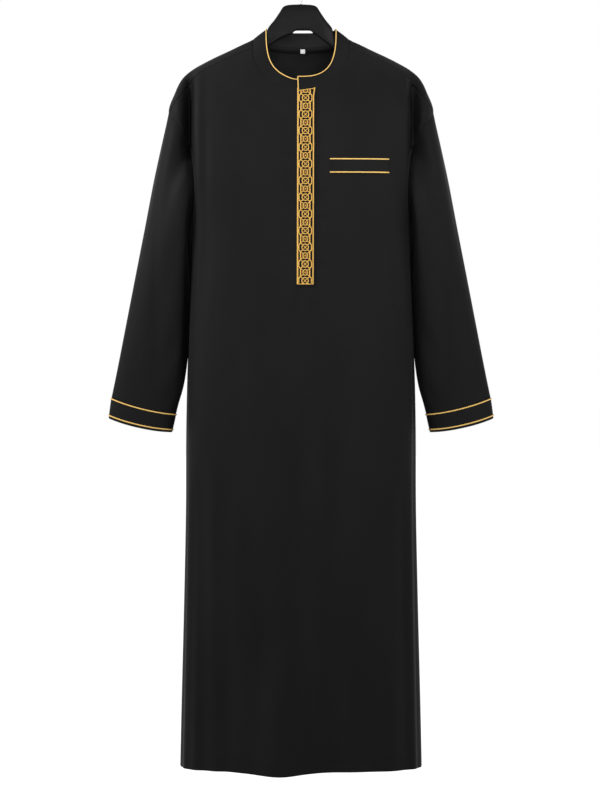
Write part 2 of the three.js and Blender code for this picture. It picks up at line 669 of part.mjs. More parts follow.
function hangerSection(row, sign) {
  const top = row.top ?? crestHeight(row.x) - HANGER_UNDER_CREST;
  const room = (z) => {
    const { halfWidth, front: depth, power } = readTable(TRUNK, z);
    const share = Math.min(1, row.x / halfWidth);
    return depth * (1 - share ** power) ** (1 / power) - CLOTH_WALL - HANGER_CLEAR;
  };
  const half = HANGER_SIDES / 2;
  return steps(HANGER_SIDES - 1, 0, HANGER_SIDES - 1).map((k) => {
    const angle = (Math.PI * (k + 0.5)) / half;
    const z = mix(row.bottom, top, (Math.cos(angle) + 1) / 2);
    const free = row.top === null ? Math.max(0.6, Math.min(row.half, room(z))) : row.half;
    return new THREE.Vector3(sign * row.x, Math.sign(Math.sin(angle)) * free * Math.abs(Math.sin(angle)) ** 0.6, z);
  });
}

function hangerMesh() {
  const sections = [...[...HANGER].reverse().map((row) => hangerSection(row, -1)),
    ...HANGER.slice(1).map((row) => hangerSection(row, 1))];
  const count = HANGER_SIDES;
  const vertices = [...sections.flat(), ringMiddle(sections[0]), ringMiddle(sections[sections.length - 1])];
  const triangles = [];
  for (let j = 0; j < sections.length - 1; j += 1) {
    for (let i = 0; i < count; i += 1) {
      const [a, b] = [j * count + i, j * count + ((i + 1) % count)];
      triangles.push([a, b, b + count], [a, b + count, a + count]);
    }
  }
  const lastRing = (sections.length - 1) * count;
  for (let i = 0; i < count; i += 1) {
    const next = (i + 1) % count;
    triangles.push([vertices.length - 2, next, i]);
    triangles.push([vertices.length - 1, lastRing + i, lastRing + next]);
  }
  return solidMesh("hanger", vertices, triangles, HANGER_PLASTIC);
}

// The hook is a question mark of wire: a round crown whose lower end swings back over the stem.
function hookMesh() {
  const radius = HOOK_RADIUS + HOOK_WIRE / 2;
  const centre = HOOK_WIRE / 2 - radius;
  const arc = steps(11, 185, -50).map((degrees) => new THREE.Vector3(
    radius * Math.cos(radians(degrees)), 0, centre + radius * Math.sin(radians(degrees))));
  const stem = [new THREE.Vector3(1.5, 0, -48.5), new THREE.Vector3(0, 0, -54),
    new THREE.Vector3(0, 0, HOOK_STEM_END + SEAM_GAP)];
  const section = new THREE.Shape().absarc(0, 0, HOOK_WIRE / 2, 0, Math.PI * 2);
  const geometry = new THREE.ExtrudeGeometry(section, {
    steps: 30,
    curveSegments: 4,
    bevelEnabled: false,
    extrudePath: new THREE.CatmullRomCurve3([...arc, ...stem]),
  });
  const mesh = new THREE.Mesh(geometry, HOOK_STEEL);
  mesh.name = "hook";
  return mesh;
}

// The garment and its hanger

const thobe = new THREE.Group();
const cuffLength = cuff[0][0].distanceTo(cuff[1][0]);
for (const [name, sign] of [["left", 1], ["right", -1]]) {
  const lower = cuffLength - PIPING_FROM_CUFF_EDGE;
  thobe.add(
    sleeveMesh(`sleeve_${name}`, sign),
    cuffMesh(`cuff_${name}`, sign),
    cuffPiping(`cuff_piping_upper_${name}`, sign, 0.2, PIPING_WIDTH),
    cuffPiping(`cuff_piping_lower_${name}`, sign, lower - PIPING_WIDTH / 2, lower + PIPING_WIDTH / 2),
  );
}
thobe.add(
  front.mesh,
  back.mesh,
  collar,
  collarPiping,
  collarEndPiping(),
  onPanel("placket", front, PLACKET, LAY_GAP, CLOTH_WALL, CLOTH_TRIM),
  onPanel("embroidery", front, EMBROIDERY, LAY_GAP + CLOTH_WALL + SEAM_GAP, TRIM_WALL, GOLD_THREAD),
  onPanel("pocket_welt", front, POCKET_WELT, LAY_GAP, CLOTH_WALL, CLOTH_TRIM, WELT_COLUMNS),
  onPanel("pocket_piping_top", front, weltPiping(POCKET_WELT.top), weltLift, TRIM_WALL, GOLD_THREAD, WELT_COLUMNS),
  onPanel("pocket_piping_bottom", front, weltPiping(POCKET_WELT.bottom + PIPING_WIDTH), weltLift, TRIM_WALL,
    GOLD_THREAD, WELT_COLUMNS),
  onPanel("size_label", labelSide, SIZE_LABEL, CLOTH_WALL + LAY_GAP, LABEL_WALL, LABEL_CLOTH),
  hangerMesh(),
  hookMesh(),
);

export default thobe;
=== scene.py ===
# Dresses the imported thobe: cloth, gold piping and embroidery, hanger, light and camera.
# Lengths are in millimetres until a mesh is made, in the row's own frame: +X is towards the
# wearer's left sleeve, -Y is the front, +Z is up, and the origin is inside the hook's crown.
import json
import math

import bpy
import numpy as np
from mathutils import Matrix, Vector

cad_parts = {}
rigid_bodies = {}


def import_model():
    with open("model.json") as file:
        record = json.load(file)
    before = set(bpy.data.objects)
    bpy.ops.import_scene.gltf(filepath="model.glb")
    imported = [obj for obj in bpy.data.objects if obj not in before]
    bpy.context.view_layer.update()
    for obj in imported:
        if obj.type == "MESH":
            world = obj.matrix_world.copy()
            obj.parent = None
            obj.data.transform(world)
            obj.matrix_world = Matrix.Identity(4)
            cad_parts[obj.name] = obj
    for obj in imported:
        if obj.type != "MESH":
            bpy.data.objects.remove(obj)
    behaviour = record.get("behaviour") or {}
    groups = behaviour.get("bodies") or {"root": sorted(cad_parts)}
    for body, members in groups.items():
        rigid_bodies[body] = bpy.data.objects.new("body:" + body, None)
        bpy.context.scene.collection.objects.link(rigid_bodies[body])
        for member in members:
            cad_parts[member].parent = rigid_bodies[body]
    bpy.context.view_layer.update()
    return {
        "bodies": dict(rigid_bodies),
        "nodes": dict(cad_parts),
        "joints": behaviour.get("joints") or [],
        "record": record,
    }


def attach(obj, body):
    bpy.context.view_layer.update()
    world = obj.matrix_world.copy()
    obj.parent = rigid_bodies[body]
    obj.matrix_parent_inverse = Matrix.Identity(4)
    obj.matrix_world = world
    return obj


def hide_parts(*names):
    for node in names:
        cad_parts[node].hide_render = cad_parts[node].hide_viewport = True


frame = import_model()

MM = 0.001
BODY = "root"

# Cloth
CLOTH_THICKNESS = 0.8
SEAM_ALLOWANCE = 9
HEM_TURN_UP = 24

# Heights of the trunk
HEM_FRONT = -1482
HEM_SIDE = -1483.5
HEM_DIP = {"share": -0.14, "width": 0.2, "drop": 5.5}
UNDERARM = -500
ARMHOLE_TOP = -264
ARMHOLE_FRONT = 60
ARMHOLE_BACK = 52
SHOULDER_SEAM_ANGLE = 20
SHOULDER_SEAM_CURVE = {"drop": 1.45, "reach": 0.55}

# Neckline and collar
NECK_HALF_WIDTH = 91
NECK_SIDE = -128
NECK_FRONT = -226
NECK_BACK = -135
NECK_POWER = 2.6
SHOULDER_SEAM_AT_NECK = 84
COLLAR_HALF_WIDTH = 64
COLLAR_FRONT = 60
COLLAR_BACK = 50
COLLAR_SIDE_TOP = -107
COLLAR_FRONT_TOP = -204
COLLAR_THICKNESS = 2.2
COLLAR_OVER_END = -3
COLLAR_UNDER_END = 372
UNDERLAP_FROM = 338
UNDERLAP_TO = 356
UNDERLAP_INSET = 2.9

# Trims
PIPING_RADIUS = 1.32
COLLAR_PIPING_RADIUS = 1.05
PIPING_UP_FROM_EDGE = 5.5
# Painted light: a lighter copy of the cloth on the inside of the back at the neck
NECK_PAINTED_LIGHT_AREA = {"half_width": 92, "bottom": -300, "behind": 4}  # where the inside of the back shows
PLACKET = {"left": -8.6, "right": 25.4, "bottom": -593}
BAND = {"left": -7.0, "right": 24.2, "bottom": -589.5}
WELT = {"left": 52, "right": 162, "top": -358, "bottom": -385}
LABEL = {"left": -1.3, "right": 7.7, "top": -136.0, "bottom": -143.6}

# The trunk's sections, as in the model
Z_TOP = -100
Z_BOTTOM = -1500


def table(names, *rows):
    """A table as one array for each named column."""
    return {name: np.array([row[i] for row in rows], float) for i, name in enumerate(names)}


TRUNK = table(
    ["z", "half_width", "front", "back", "power"],
    [-100, 50, 2, 35, 2.2],
    [-128, 91, 5, 51, 2.2],
    [-139, 113, 14, 56.5, 2.1],
    [-150, 135.5, 24, 61, 2.1],
    [-161, 159, 33, 64, 2.1],
    [-172, 180.5, 41, 66, 2.1],
    [-184, 201.5, 48, 68, 2.2],
    [-195, 215.5, 54, 69, 2.3],
    [-206, 224.5, 59, 70, 2.4],
    [-226, 234, 66, 72, 2.6],
    [-264, 246.5, 76, 73, 2.9],
    [-300, 234, 81, 74, 3.2],
    [-333, 222, 84, 75, 3.6],
    [-385, 212, 86.5, 76, 4.0],
    [-440, 206, 87, 77, 3.8],
    [-500, 203, 87, 78, 3.5],
    [-632, 207, 88, 80, 3.3],
    [-744, 211.5, 88, 82, 3.2],
    [-860, 214, 88, 84, 3.1],
    [-1000, 214.5, 89, 87, 3.0],
    [-1180, 218, 91, 90, 2.9],
    [-1362, 222.5, 94, 94, 2.8],
    [-1500, 225.5, 96, 97, 2.8],
)

# Soft folds from top to bottom. depth pushes the cloth in, a negative one lets it stand out.
FOLDS = table(
    ["front", "x", "lean", "width", "depth", "start", "end"],
    [1, -184, 0.010, 15, 7, -860, -1470],
    [1, -146, 0.012, 19, 6, -900, -1480],
    [1, -75, 0.004, 21, 4, -1010, -1330],
    [1, -2, 0.006, 25, 7, -780, -1400],
    [1, 62, -0.004, 27, 7, -800, -1420],
    [1, -40, 0.0, 48, -20, -1230, -1490],
    [1, 128, 0.010, 30, 4, -1080, -1480],
    [1, 186, 0.006, 15, 6, -900, -1460],
    [0, -168, -0.010, 18, 8, -760, -1480],
    [0, -112, 0.006, 24, 7, -620, -1450],
    [0, -38, 0.004, 30, 9, -420, -1480],
    [0, 44, -0.006, 27, 8, -520, -1480],
    [0, 104, 0.010, 22, 7, -700, -1400],
    [0, 172, 0.006, 17, 8, -820, -1480],
)
FOLD_FADE = 150
TIP_FADE = 30

# Where the cloth falls off the hanger's ends, a valley runs down between body and sleeve. Lists
# here are read at the distances below the hook in DOWN.
DOWN = [0, 430, 510, 652, 735]
VALLEY = {"x": 206, "shift": [0, 0, 2, 7, 10], "inner": 5.5, "outer": 14, "front": 0.60, "back": 0.26,
          "start": -160, "end": -640, "fade": 62}

# Painted shade at the bottom of the valley on the wearer's right, -1, and left, 1, darkening the cloth's
# colour: its inner edge, how far it fades outwards, where it starts, and how gradually it sets in
SHADOW = {"edge": {-1: [197, 197, 201, 207, 209.5], 1: [195.8, 196.2, 198, 202.8, 206]},
          "fade": {-1: [19, 16, 13.5, 10, 8.5], 1: [7.5, 7.5, 7.5, 6.5, 5.5]},
          "start": {-1: -186, 1: -216}, "end": -790, "above": 26, "below": 60, "inside": 4, "back": 12}

# Smaller creases: centre, half length along the crease, half width, depth and how far it leans
# from upright, in degrees.
CREASES = table(
    ["front", "x", "z", "along", "across", "depth", "lean"],
    # pulls beside the placket
    [1, -22, -300, 15, 5, 0.9, 70],
    [1, -24, -352, 17, 5, 0.9, 84],
    [1, -23, -398, 16, 5, 0.8, 96],
    [1, -24, -446, 18, 5, 0.9, 82],
    [1, -22, -492, 16, 5, 0.8, 95],
    [1, -25, -538, 19, 6, 0.9, 80],
    [1, 38, -318, 34, 7, 1.3, 28],
    [1, 37, -352, 22, 6, 1.1, 20],
    [1, 39, -420, 15, 5, 0.8, 84],
    [1, 38, -468, 17, 5, 0.8, 97],
    [1, 40, -512, 16, 5, 0.8, 82],
    [1, 39, -556, 18, 6, 0.9, 96],
    # soft drags from the collar and the shoulders
    [1, -58, -262, 60, 14, 1.4, -62],
    [1, 62, -256, 62, 14, 1.4, 62],
    [1, -120, -250, 70, 18, 1.4, -38],
    [1, 128, -246, 70, 18, 1.4, 38],
    [1, -196, -470, 90, 12, 2.2, 8],
    [1, 196, -478, 90, 12, 2.2, -8],
    [1, -176, -560, 120, 12, 1.8, 6],
    [1, 178, -600, 120, 12, 1.8, -6],
    # where the placket ends
    [1, -10, -640, 60, 12, 1.8, 10],
    [1, 30, -665, 70, 14, 1.8, -8],
    [1, 8, -720, 110, 16, -1.2, 2],
    # skirt
    [1, -112, -760, 130, 14, 1.6, 3],
    [1, -96, -1120, 160, 13, 1.8, 2],
    [1, 22, -980, 170, 13, 1.8, -1],
    [1, 92, -900, 150, 16, 1.6, -3],
    [1, 110, -1260, 150, 15, 2.0, -2],
    [1, -128, -1330, 120, 14, 2.2, 3],
    [1, 40, -1390, 90, 16, 2.4, 2],
    [1, 158, -1120, 170, 12, 1.8, -2],
    [0, -70, -190, 70, 16, 1.8, -55],
    [0, 74, -194, 72, 16, 1.8, 55],
    [0, -150, -300, 110, 16, 2.4, -22],
    [0, 152, -310, 110, 16, 2.4, 24],
    [0, -186, -470, 100, 13, 2.4, 8],
    [0, 184, -460, 100, 13, 2.4, -8],
    [0, 0, -330, 150, 20, 2.0, 2],
    [0, -76, -900, 180, 16, 2.6, 2],
    [0, 12, -1000, 190, 15, 2.4, -2],
    [0, 76, -1150, 170, 15, 2.6, 3],
    [0, -140, -1180, 170, 14, 2.4, -2],
    [0, 140, -1260, 150, 14, 2.4, 2],
    # the ridge beside the deep fold on the wearer's right, and the trough that follows it
    [1, -189, -330, 150, 7.5, -3.0, 0],
    [1, -192, -520, 120, 7.5, -2.6, 2],
    [1, -174, -400, 120, 7, 1.4, 0],
)

# Folds in the garment's sides, by the share of the way round from the centre of the back
SIDE_FOLD_OFFSET = 0.02  # forward on the wearer's left, and back on the right
SIDE_FOLDS = table(
    ["b", "lean", "width", "depth", "start", "end"],
    [0.80, 0.00002, 0.045, 3.4, -560, -1460],
    [0.93, -0.00001, 0.034, 3.0, -760, -1480],
    [1.10, 0.00002, 0.038, 3.2, -640, -1470],
    [1.24, -0.00002, 0.045, 3.0, -900, -1480],
)

# Sleeve rings, from the armhole to the cuff seam
SLEEVE = table(
    ["row", "outer_x", "outer_z", "clear", "inner_z", "front", "back", "seam"],
    [0, 246.5, -264, 0, -500, 48, 44, 1],
    [1, 252, -288, 0.3, -514, 58, 54, 0.62],
    [2, 261.5, -328, -0.2, -543, 63, 60, 0.28],
    [3, 276, -394, -0.3, -592, 60, 60, 0.08],
    [4, 292.5, -480, -0.3, -652, 53, 55, 0],
    [5, 310.5, -572, 0.8, -716, 44, 48, 0],
    [6, 328, -662, 6.5, -770, 35, 39, 0],
    [7, 344, -744, 16.0, -808, 28, 31, 0],
    [8, 355, -797, 20.5, -827, 24, 26, 0],
)
CUFF_END = {"outer_x": 360, "outer_z": -835, "inner_x": 241.5, "inner_z": -861, "front": 23, "back": 24}
SLEEVE_POWER = 2.2
CUFF_SAG = 5
SLEEVE_BACK_SHIFT = 6
SLEEVE_OFF_TRUNK = 0.6

# Creases of a sleeve: place along it in rings, place round it in degrees, sizes in rings and
# degrees, depth, and how far the crease turns round the sleeve for each ring.
SLEEVE_CREASES = table(
    ["ring", "angle", "along", "across", "depth", "turn"],
    [1.4, 128, 1.3, 11, 2.4, 14],
    [2.2, 150, 1.2, 10, 2.2, 18],
    [3.4, 100, 1.7, 12, 2.0, -9],
    [4.6, 74, 1.1, 11, 1.9, 16],
    [5.2, 122, 1.0, 12, 2.0, -18],
    [6.1, 92, 0.9, 11, 1.7, 14],
    [6.9, 132, 0.7, 11, 1.5, -16],
    [1.6, -128, 1.3, 11, 2.4, -12],
    [2.8, -98, 1.6, 12, 2.2, 9],
    [4.4, -70, 1.2, 12, 2.2, -14],
    [5.0, -122, 1.1, 12, 2.2, 16],
    [6.3, -88, 0.9, 11, 1.8, -12],
    [3.0, 18, 1.6, 9, 1.2, 4],
    [5.0, -14, 1.5, 9, 1.2, -4],
)

# The hanger, from its neck to the end of an arm
HANGER = table(
    ["x", "top", "bottom", "half"],
    [0, -61.4, -110, 6.5],
    [13, -61.7, -110.2, 6.5],
    [17, -62.0, -112.0, 6.5],
    [20, -62.2, -116.0, 6.5],
    [28, -64.0, -119, 6.5],
    [32.5, -67.2, -121.5, 6.5],
    [37.4, -75, -124.5, 6.5],
    [47.5, -90, -131.5, 6.5],
    [60.3, -106.5, -141, 5.5],
    [62, -114, -143, 5],
    [66, -124.5, -145, 4.5],
    [76, -131.5, -151, 4.5],
    [91, -139, -159, 5],
    [105, np.nan, -165, 8],
    [118, np.nan, -171, 9.5],
    [135, np.nan, -179, 12],
    [155, np.nan, -188, 15],
    [175, np.nan, -198, 18],
    [190, np.nan, -206, 19],
    [198, -187.5, -209, 16.5],
    [203, -193, -208, 12.5],
    [206, -197, -204.5, 7],
)
HANGER_UNDER_CREST = 4.3
HANGER_CLEAR = 2.8
HOOK_WIRE = 4
HOOK_RADIUS = 20
HOOK_FOOT = -63.1


# Numbers and curves


def smooth(t):
    t = np.clip(t, 0, 1)
    return t * t * (3 - 2 * t)


def mix(a, b, t):
    return a + (b - a) * t


def read_column(columns, key, at, along):
    """Reads a column at places along another one, on a smooth curve through the rows."""
    axis = columns[along]
    values = columns[key]
    direction = 1 if axis[-1] > axis[0] else -1
    last = len(axis) - 1
    found = np.searchsorted(direction * axis, direction * np.asarray(at, float), "right")
    index = np.clip(found - 1, 0, last - 1)
    before, after = np.maximum(index - 1, 0), np.minimum(index + 2, last)
    p, q = values[index], values[index + 1]
    span = axis[index + 1] - axis[index]
    t = np.clip((at - axis[index]) / span, 0, 1)
    slope_in = (values[index + 1] - values[before]) / (axis[index + 1] - axis[before]) * span
    slope_out = (values[after] - values[index]) / (axis[after] - axis[index]) * span
    return (
        p * (1 + 2 * t) * (1 - t) ** 2 + slope_in * t * (1 - t) ** 2
        + q * t * t * (3 - 2 * t) + slope_out * t * t * (t - 1)
    )


# The trunk's surface. A place is a height z and a share b of the way round: 0 is the centre of
# the back, 1 and -1 are the sides and shoulder crests, 2 and -2 are the centre of the front.

SHARE_STEPS = 320
ARC_SAMPLES = 384


def outline_grid(side):
    """The trunk's outline on one side, at every millimetre of height and evenly by length."""
    heights = np.arange(Z_TOP, Z_BOTTOM - 1, -1.0)
    half_width = read_column(TRUNK, "half_width", heights, "z")
    depth = read_column(TRUNK, side, heights, "z")
    power = read_column(TRUNK, "power", heights, "z")
    angle = np.linspace(0, math.pi / 2, ARC_SAMPLES)
    xs = half_width[:, None] * np.sin(angle)[None, :] ** (2 / power[:, None])
    ys = depth[:, None] * np.clip(np.cos(angle), 0, 1)[None, :] ** (2 / power[:, None])
    ys[:, -1] = 0
    shares = np.linspace(0, 1, SHARE_STEPS + 1)
    grid = np.zeros((len(heights), SHARE_STEPS + 1, 2))
    for i in range(len(heights)):
        length = np.concatenate([[0], np.cumsum(np.hypot(np.diff(xs[i]), np.diff(ys[i])))])
        length /= length[-1]
        grid[i, :, 0] = np.interp(shares, length, xs[i])
        grid[i, :, 1] = np.interp(shares, length, ys[i])
    return grid


OUTLINE = {"front": outline_grid("front"), "back": outline_grid("back")}


def outline_row(side, z):
    """One outline, between the stored heights."""
    row = min(max(Z_TOP - z, 0), Z_TOP - Z_BOTTOM - 1)
    i = int(row)
    return mix(OUTLINE[side][i], OUTLINE[side][i + 1], row - i)


def share_at_x(side, z, x):
    row = outline_row(side, z)
    return float(np.interp(x, row[:, 0], np.linspace(0, 1, SHARE_STEPS + 1)))


def share_at_y(side, z, y):
    row = outline_row(side, z)
    return float(np.interp(y, row[::-1, 1], np.linspace(1, 0, SHARE_STEPS + 1)))


def outline_point(side, share, z):
    row = np.clip(Z_TOP - z, 0, Z_TOP - Z_BOTTOM - 1e-6)
    i = row.astype(int)
    at = np.clip(share, 0, 1) * SHARE_STEPS
    k = np.minimum(at.astype(int), SHARE_STEPS - 1)
    grid = OUTLINE[side]
    f, g = (row - i)[..., None], (at - k)[..., None]
    return mix(mix(grid[i, k], grid[i, k + 1], g), mix(grid[i + 1, k], grid[i + 1, k + 1], g), f)


def fold_share(z, start, end):
    """How much of a fold shows at a height: it fades in at its top and out at its foot."""
    return smooth((start - z) / FOLD_FADE) * smooth((z - end) / FOLD_FADE + 1)


def crease_push(is_front, x, z):
    """How far folds and creases push the cloth in at a place on one side."""
    push = np.zeros(np.broadcast(x, z).shape)
    for front, x_at, lean, width, depth, start, end in zip(*FOLDS.values()):
        centre = x_at + lean * (start - z)
        fold = depth * fold_share(z, start, end) * np.exp(-(((x - centre) / width) ** 2))
        push = push + np.where(is_front == (front > 0), fold, 0)
    for front, x_at, z_at, along, across, depth, lean in zip(*CREASES.values()):
        cos, sin = np.cos(np.radians(lean)), np.sin(np.radians(lean))
        up = ((z - z_at) * cos + (x - x_at) * sin) / along
        aside = ((x - x_at) * cos - (z - z_at) * sin) / across
        push = push + np.where(is_front == (front > 0), depth * np.exp(-(up**2) - aside**2), 0)
    return push


def at_height(values, z):
    return np.interp(-z, DOWN, values)


def valley_share(x, z):
    """How far a place lies in the valley beside an armhole, from 0 to 1."""
    along = smooth((VALLEY["start"] - z) / VALLEY["fade"]) * smooth((z - VALLEY["end"]) / VALLEY["fade"])
    gap = np.abs(x) - VALLEY["x"] - at_height(VALLEY["shift"], z)
    width = np.where(gap < 0, VALLEY["inner"], VALLEY["outer"])
    return along * np.exp(-((gap / width) ** 2))


def shadow_share(x, z):
    """How strongly painted shade darkens a place at the valley's bottom: sharp towards the body, soft
    outwards.
    """
    share = np.zeros(np.broadcast(x, z).shape)
    for side in (-1, 1):
        above = smooth((SHADOW["start"][side] - z) / SHADOW["above"])
        below = smooth((z - SHADOW["end"]) / SHADOW["below"])
        gap = side * x - at_height(SHADOW["edge"][side], z)
        past = np.maximum(gap - SHADOW["inside"], 0) / at_height(SHADOW["fade"][side], z)
        share = share + above * below * smooth((gap + 1) / SHADOW["inside"]) * np.exp(-(past**2))
    return share


def folded_depth(y, is_front, x, z):
    """A depth of the plain outline, with the valleys, folds and creases taken off."""
    scale = 1 - np.where(is_front, VALLEY["front"], VALLEY["back"]) * valley_share(x, z)
    return y * scale - crease_push(is_front, x, z) * smooth(y / TIP_FADE)


def wrap(b):
    """The same place, counted from -2 to 2."""
    return np.where(b > 2, b - 4, np.where(b < -2, b + 4, b))


def plain_trunk(b, z):
    """Points of the trunk without the folds in its sides."""
    b, z = np.broadcast_arrays(np.asarray(b, float), np.asarray(z, float))
    wrapped = wrap(b)
    is_front = np.abs(wrapped) > 1
    front = outline_point("front", 2 - np.abs(wrapped), z)
    back = outline_point("back", np.abs(wrapped), z)
    place = np.where(is_front[..., None], front, back)
    x = np.sign(wrapped) * place[..., 0]
    y = folded_depth(place[..., 1], is_front, x, z)
    return np.stack([x, np.where(is_front, -y, y), z], -1)


def surface_normals(surface, b, z, step_b=0.02, step_z=3.0):
    around = surface(b + step_b, z) - surface(b - step_b, z)
    up = surface(b, z + step_z) - surface(b, z - step_z)
    normal = -np.cross(around, up)
    return normal / np.linalg.norm(normal, axis=-1, keepdims=True)


def trunk(b, z):
    """Points of the trunk with all its folds."""
    b, z = np.broadcast_arrays(np.asarray(b, float), np.asarray(z, float))
    wrapped = wrap(b)
    push = np.zeros(b.shape)
    for b_at, lean, width, depth, start, end in zip(*SIDE_FOLDS.values()):
        shift = lean * (start - z) + SIDE_FOLD_OFFSET * np.sign(wrapped)
        gap = (np.abs(wrapped) - b_at - shift) / width
        push = push + depth * fold_share(z, start, end) * np.exp(-(gap**2))
    return plain_trunk(b, z) - surface_normals(plain_trunk, b, z) * push[..., None]


def trunk_normals(b, z):
    return surface_normals(trunk, b, z)


def front_depth(x, z):
    """How far the plain outline stands before the mid-plane at a given x."""
    half_width, depth, power = (read_column(TRUNK, key, z, "z") for key in ("half_width", "front", "power"))
    return depth * (1 - np.minimum(np.abs(x) / half_width, 1) ** power) ** (1 / power)


def front_point(x, z):
    """The point of the front at a given x, as a graph over x and z."""
    x, z = np.broadcast_arrays(np.asarray(x, float), np.asarray(z, float))
    return np.stack([x, -folded_depth(front_depth(x, z), np.bool_(True), x, z), z], -1)


def front_normals(x, z, step=2.0):
    across = front_point(x + step, z) - front_point(x - step, z)
    up = front_point(x, z + step) - front_point(x, z - step)
    normal = np.cross(across, up)
    return normal / np.linalg.norm(normal, axis=-1, keepdims=True)


# Seam lines, for the wearer's left side


def armhole_at(degrees):
    half = (ARMHOLE_TOP - UNDERARM) / 2
    z = UNDERARM + half + half * math.cos(math.radians(degrees))
    side, reach = ("front", ARMHOLE_FRONT) if degrees > 0 else ("back", ARMHOLE_BACK)
    share = share_at_y(side, z, reach * abs(math.sin(math.radians(degrees))))
    return (2 - share if side == "front" else share), z


def neckline_at(degrees):
    if degrees > 90:
        t = (degrees - 90) / 90
        return 1 - t, float(mix(NECK_SIDE, NECK_BACK, smooth(t)))
    drop = max(0.0, math.cos(math.radians(degrees))) ** (2 / NECK_POWER)
    z = mix(NECK_SIDE, NECK_FRONT, drop)
    x = NECK_HALF_WIDTH * math.sin(math.radians(degrees)) ** (2 / NECK_POWER)
    return 2 - share_at_x("front", z, x), z


def half_width_at(z):
    return float(read_column(TRUNK, "half_width", z, "z"))


def shoulder_seam_at(t):
    """The seam from the neck, 0, to the armhole, 1."""
    neck, arm = neckline_at(SHOULDER_SEAM_AT_NECK), armhole_at(SHOULDER_SEAM_ANGLE)
    if t <= 0:
        return neck
    if t >= 1:
        return arm
    down = t ** SHOULDER_SEAM_CURVE["drop"]
    z = mix(neck[1], arm[1], down)

    def reach(place):
        step = int(round((2 - place[0]) * SHARE_STEPS))
        return abs(outline_row("front", place[1])[:, 0][step]) / half_width_at(place[1])

    x = mix(reach(neck), reach(arm), down ** SHOULDER_SEAM_CURVE["reach"]) * half_width_at(z)
    return 2 - share_at_x("front", z, x), z


def neck_place(degrees):
    turn = degrees % 360
    if turn <= 180:
        return neckline_at(turn)
    b, z = neckline_at(360 - turn)
    return -b, z


SHOULDER_STEPS = 34
ARMHOLE_STEPS = {"front": 60, "back": 74}
SKIRT_STEPS = 196
FRONT_COLUMNS = 150
FOLD_COLUMNS = {"middle": 0.86, "width": 0.13, "extra": 1.6}
BACK_COLUMNS = {"middle": 84, "side": 24, "middle_share": 0.78}
CREST_STEP = 0.8
LATE_RISE = 6  # how late the back's rows bend up to the neckline
EDGE_DROP = 12  # and how near to its edge they bend down to the armhole


def panel_edge(from_angle, steps):
    """A panel's edge from the underarm up its armhole and in along the shoulder seam."""
    armhole = [armhole_at(a) for a in np.linspace(from_angle, SHOULDER_SEAM_ANGLE, steps + 1)]
    return armhole + [shoulder_seam_at(t) for t in np.linspace(1, 0, SHOULDER_STEPS + 1)[1:]]


front_edge = panel_edge(180, ARMHOLE_STEPS["front"])
back_edge = panel_edge(-180, ARMHOLE_STEPS["back"])


def hem_dip(shares):
    return HEM_DIP["drop"] * np.exp(-(((shares - HEM_DIP["share"]) / HEM_DIP["width"]) ** 2))


def skirt_rows(shares, dip):
    t = np.linspace(0, 1, SKIRT_STEPS + 1)[:, None]
    z = mix((mix(HEM_FRONT, HEM_SIDE, shares**2) - dip)[None, :], UNDERARM, t)
    return np.broadcast_to(shares, z.shape), z


def crowded_shares(middle, width, extra):
    """Steps from -1 to 1 that lie closer together on both sides, where the armhole folds are."""
    fine = np.linspace(0, 1, 401)
    density = 1 + extra * np.exp(-(((fine - middle) / width) ** 2))
    reach = np.concatenate([[0], np.cumsum((density[1:] + density[:-1]) / 2)])
    half = np.interp(np.linspace(0, reach[-1], FRONT_COLUMNS // 2 + 1), reach, fine)
    return np.concatenate([-half[:0:-1], half])


def front_places():
    """Rows of places from the hem to the neckline; shares are counted from the front's centre."""
    shares = crowded_shares(**FOLD_COLUMNS)
    top = [neck_place(a) for a in shares * SHOULDER_SEAM_AT_NECK]
    top_share = np.array([math.copysign(2 - abs(b), b) for b, _ in top])
    top_share[abs(shares) < 1e-9] = 0
    top_z = np.array([z for _, z in top])
    rows_share, rows_z = (list(rows) for rows in skirt_rows(shares, hem_dip(shares)))
    for b, z in front_edge[1:]:
        t = (z - UNDERARM) / (top_z[-1] - UNDERARM)
        off = 2 - b - mix(1, top_share[-1], t)
        rows_share.append(mix(shares, top_share, t) + off * shares)
        rows_z.append(mix(UNDERARM, top_z, t))
    share, z = np.array(rows_share), np.array(rows_z)
    return np.where(share < 0, -1, 1) * (2 - np.abs(share)), z


def back_places():
    """Level rows as wide as the back's edge allows, which run over the crest of each shoulder."""
    middle = BACK_COLUMNS["middle_share"]
    side = np.linspace(middle, 1, BACK_COLUMNS["side"] + 1)
    across = np.linspace(-middle, middle, BACK_COLUMNS["middle"] + 1)[1:-1]
    shares = np.concatenate([-side[::-1], across, side])
    seam_b = neckline_at(SHOULDER_SEAM_AT_NECK)[0]
    top = []
    for share in shares:
        b = abs(share) * seam_b
        degrees = mix(90, SHOULDER_SEAM_AT_NECK, (b - 1) / (seam_b - 1)) if b > 1 else 90 + 90 * (1 - b)
        top.append(neck_place(360 - degrees if share < 0 else degrees))
    top_b, top_z = np.array([b for b, _ in top]), np.array([z for _, z in top])
    rows_b, rows_z = (list(rows) for rows in skirt_rows(shares, 0))
    level = UNDERARM
    edges = back_edge[1:]
    for j, (b, z) in enumerate(edges):
        level = max(z, level + CREST_STEP)
        late = ((j + 1) / len(edges)) ** LATE_RISE
        rows_b.append(shares * b + (top_b - shares * top_b[-1]) * late)
        rows_z.append(level + (top_z - top_z[-1]) * late + (z - level) * np.abs(shares) ** EDGE_DROP)
    return np.array(rows_b), np.array(rows_z)


# Meshes


def grid_normals(points, closed=False):
    """Directions square to a grid of points; the sign follows the order of rows and columns."""
    along = np.gradient(points, axis=0)
    if closed:
        across = (np.roll(points, -1, axis=1) - np.roll(points, 1, axis=1)) / 2
    else:
        across = np.gradient(points, axis=1)
    normal = np.cross(across, along)
    length = np.linalg.norm(normal, axis=-1, keepdims=True)
    return normal / np.maximum(length, 1e-9)


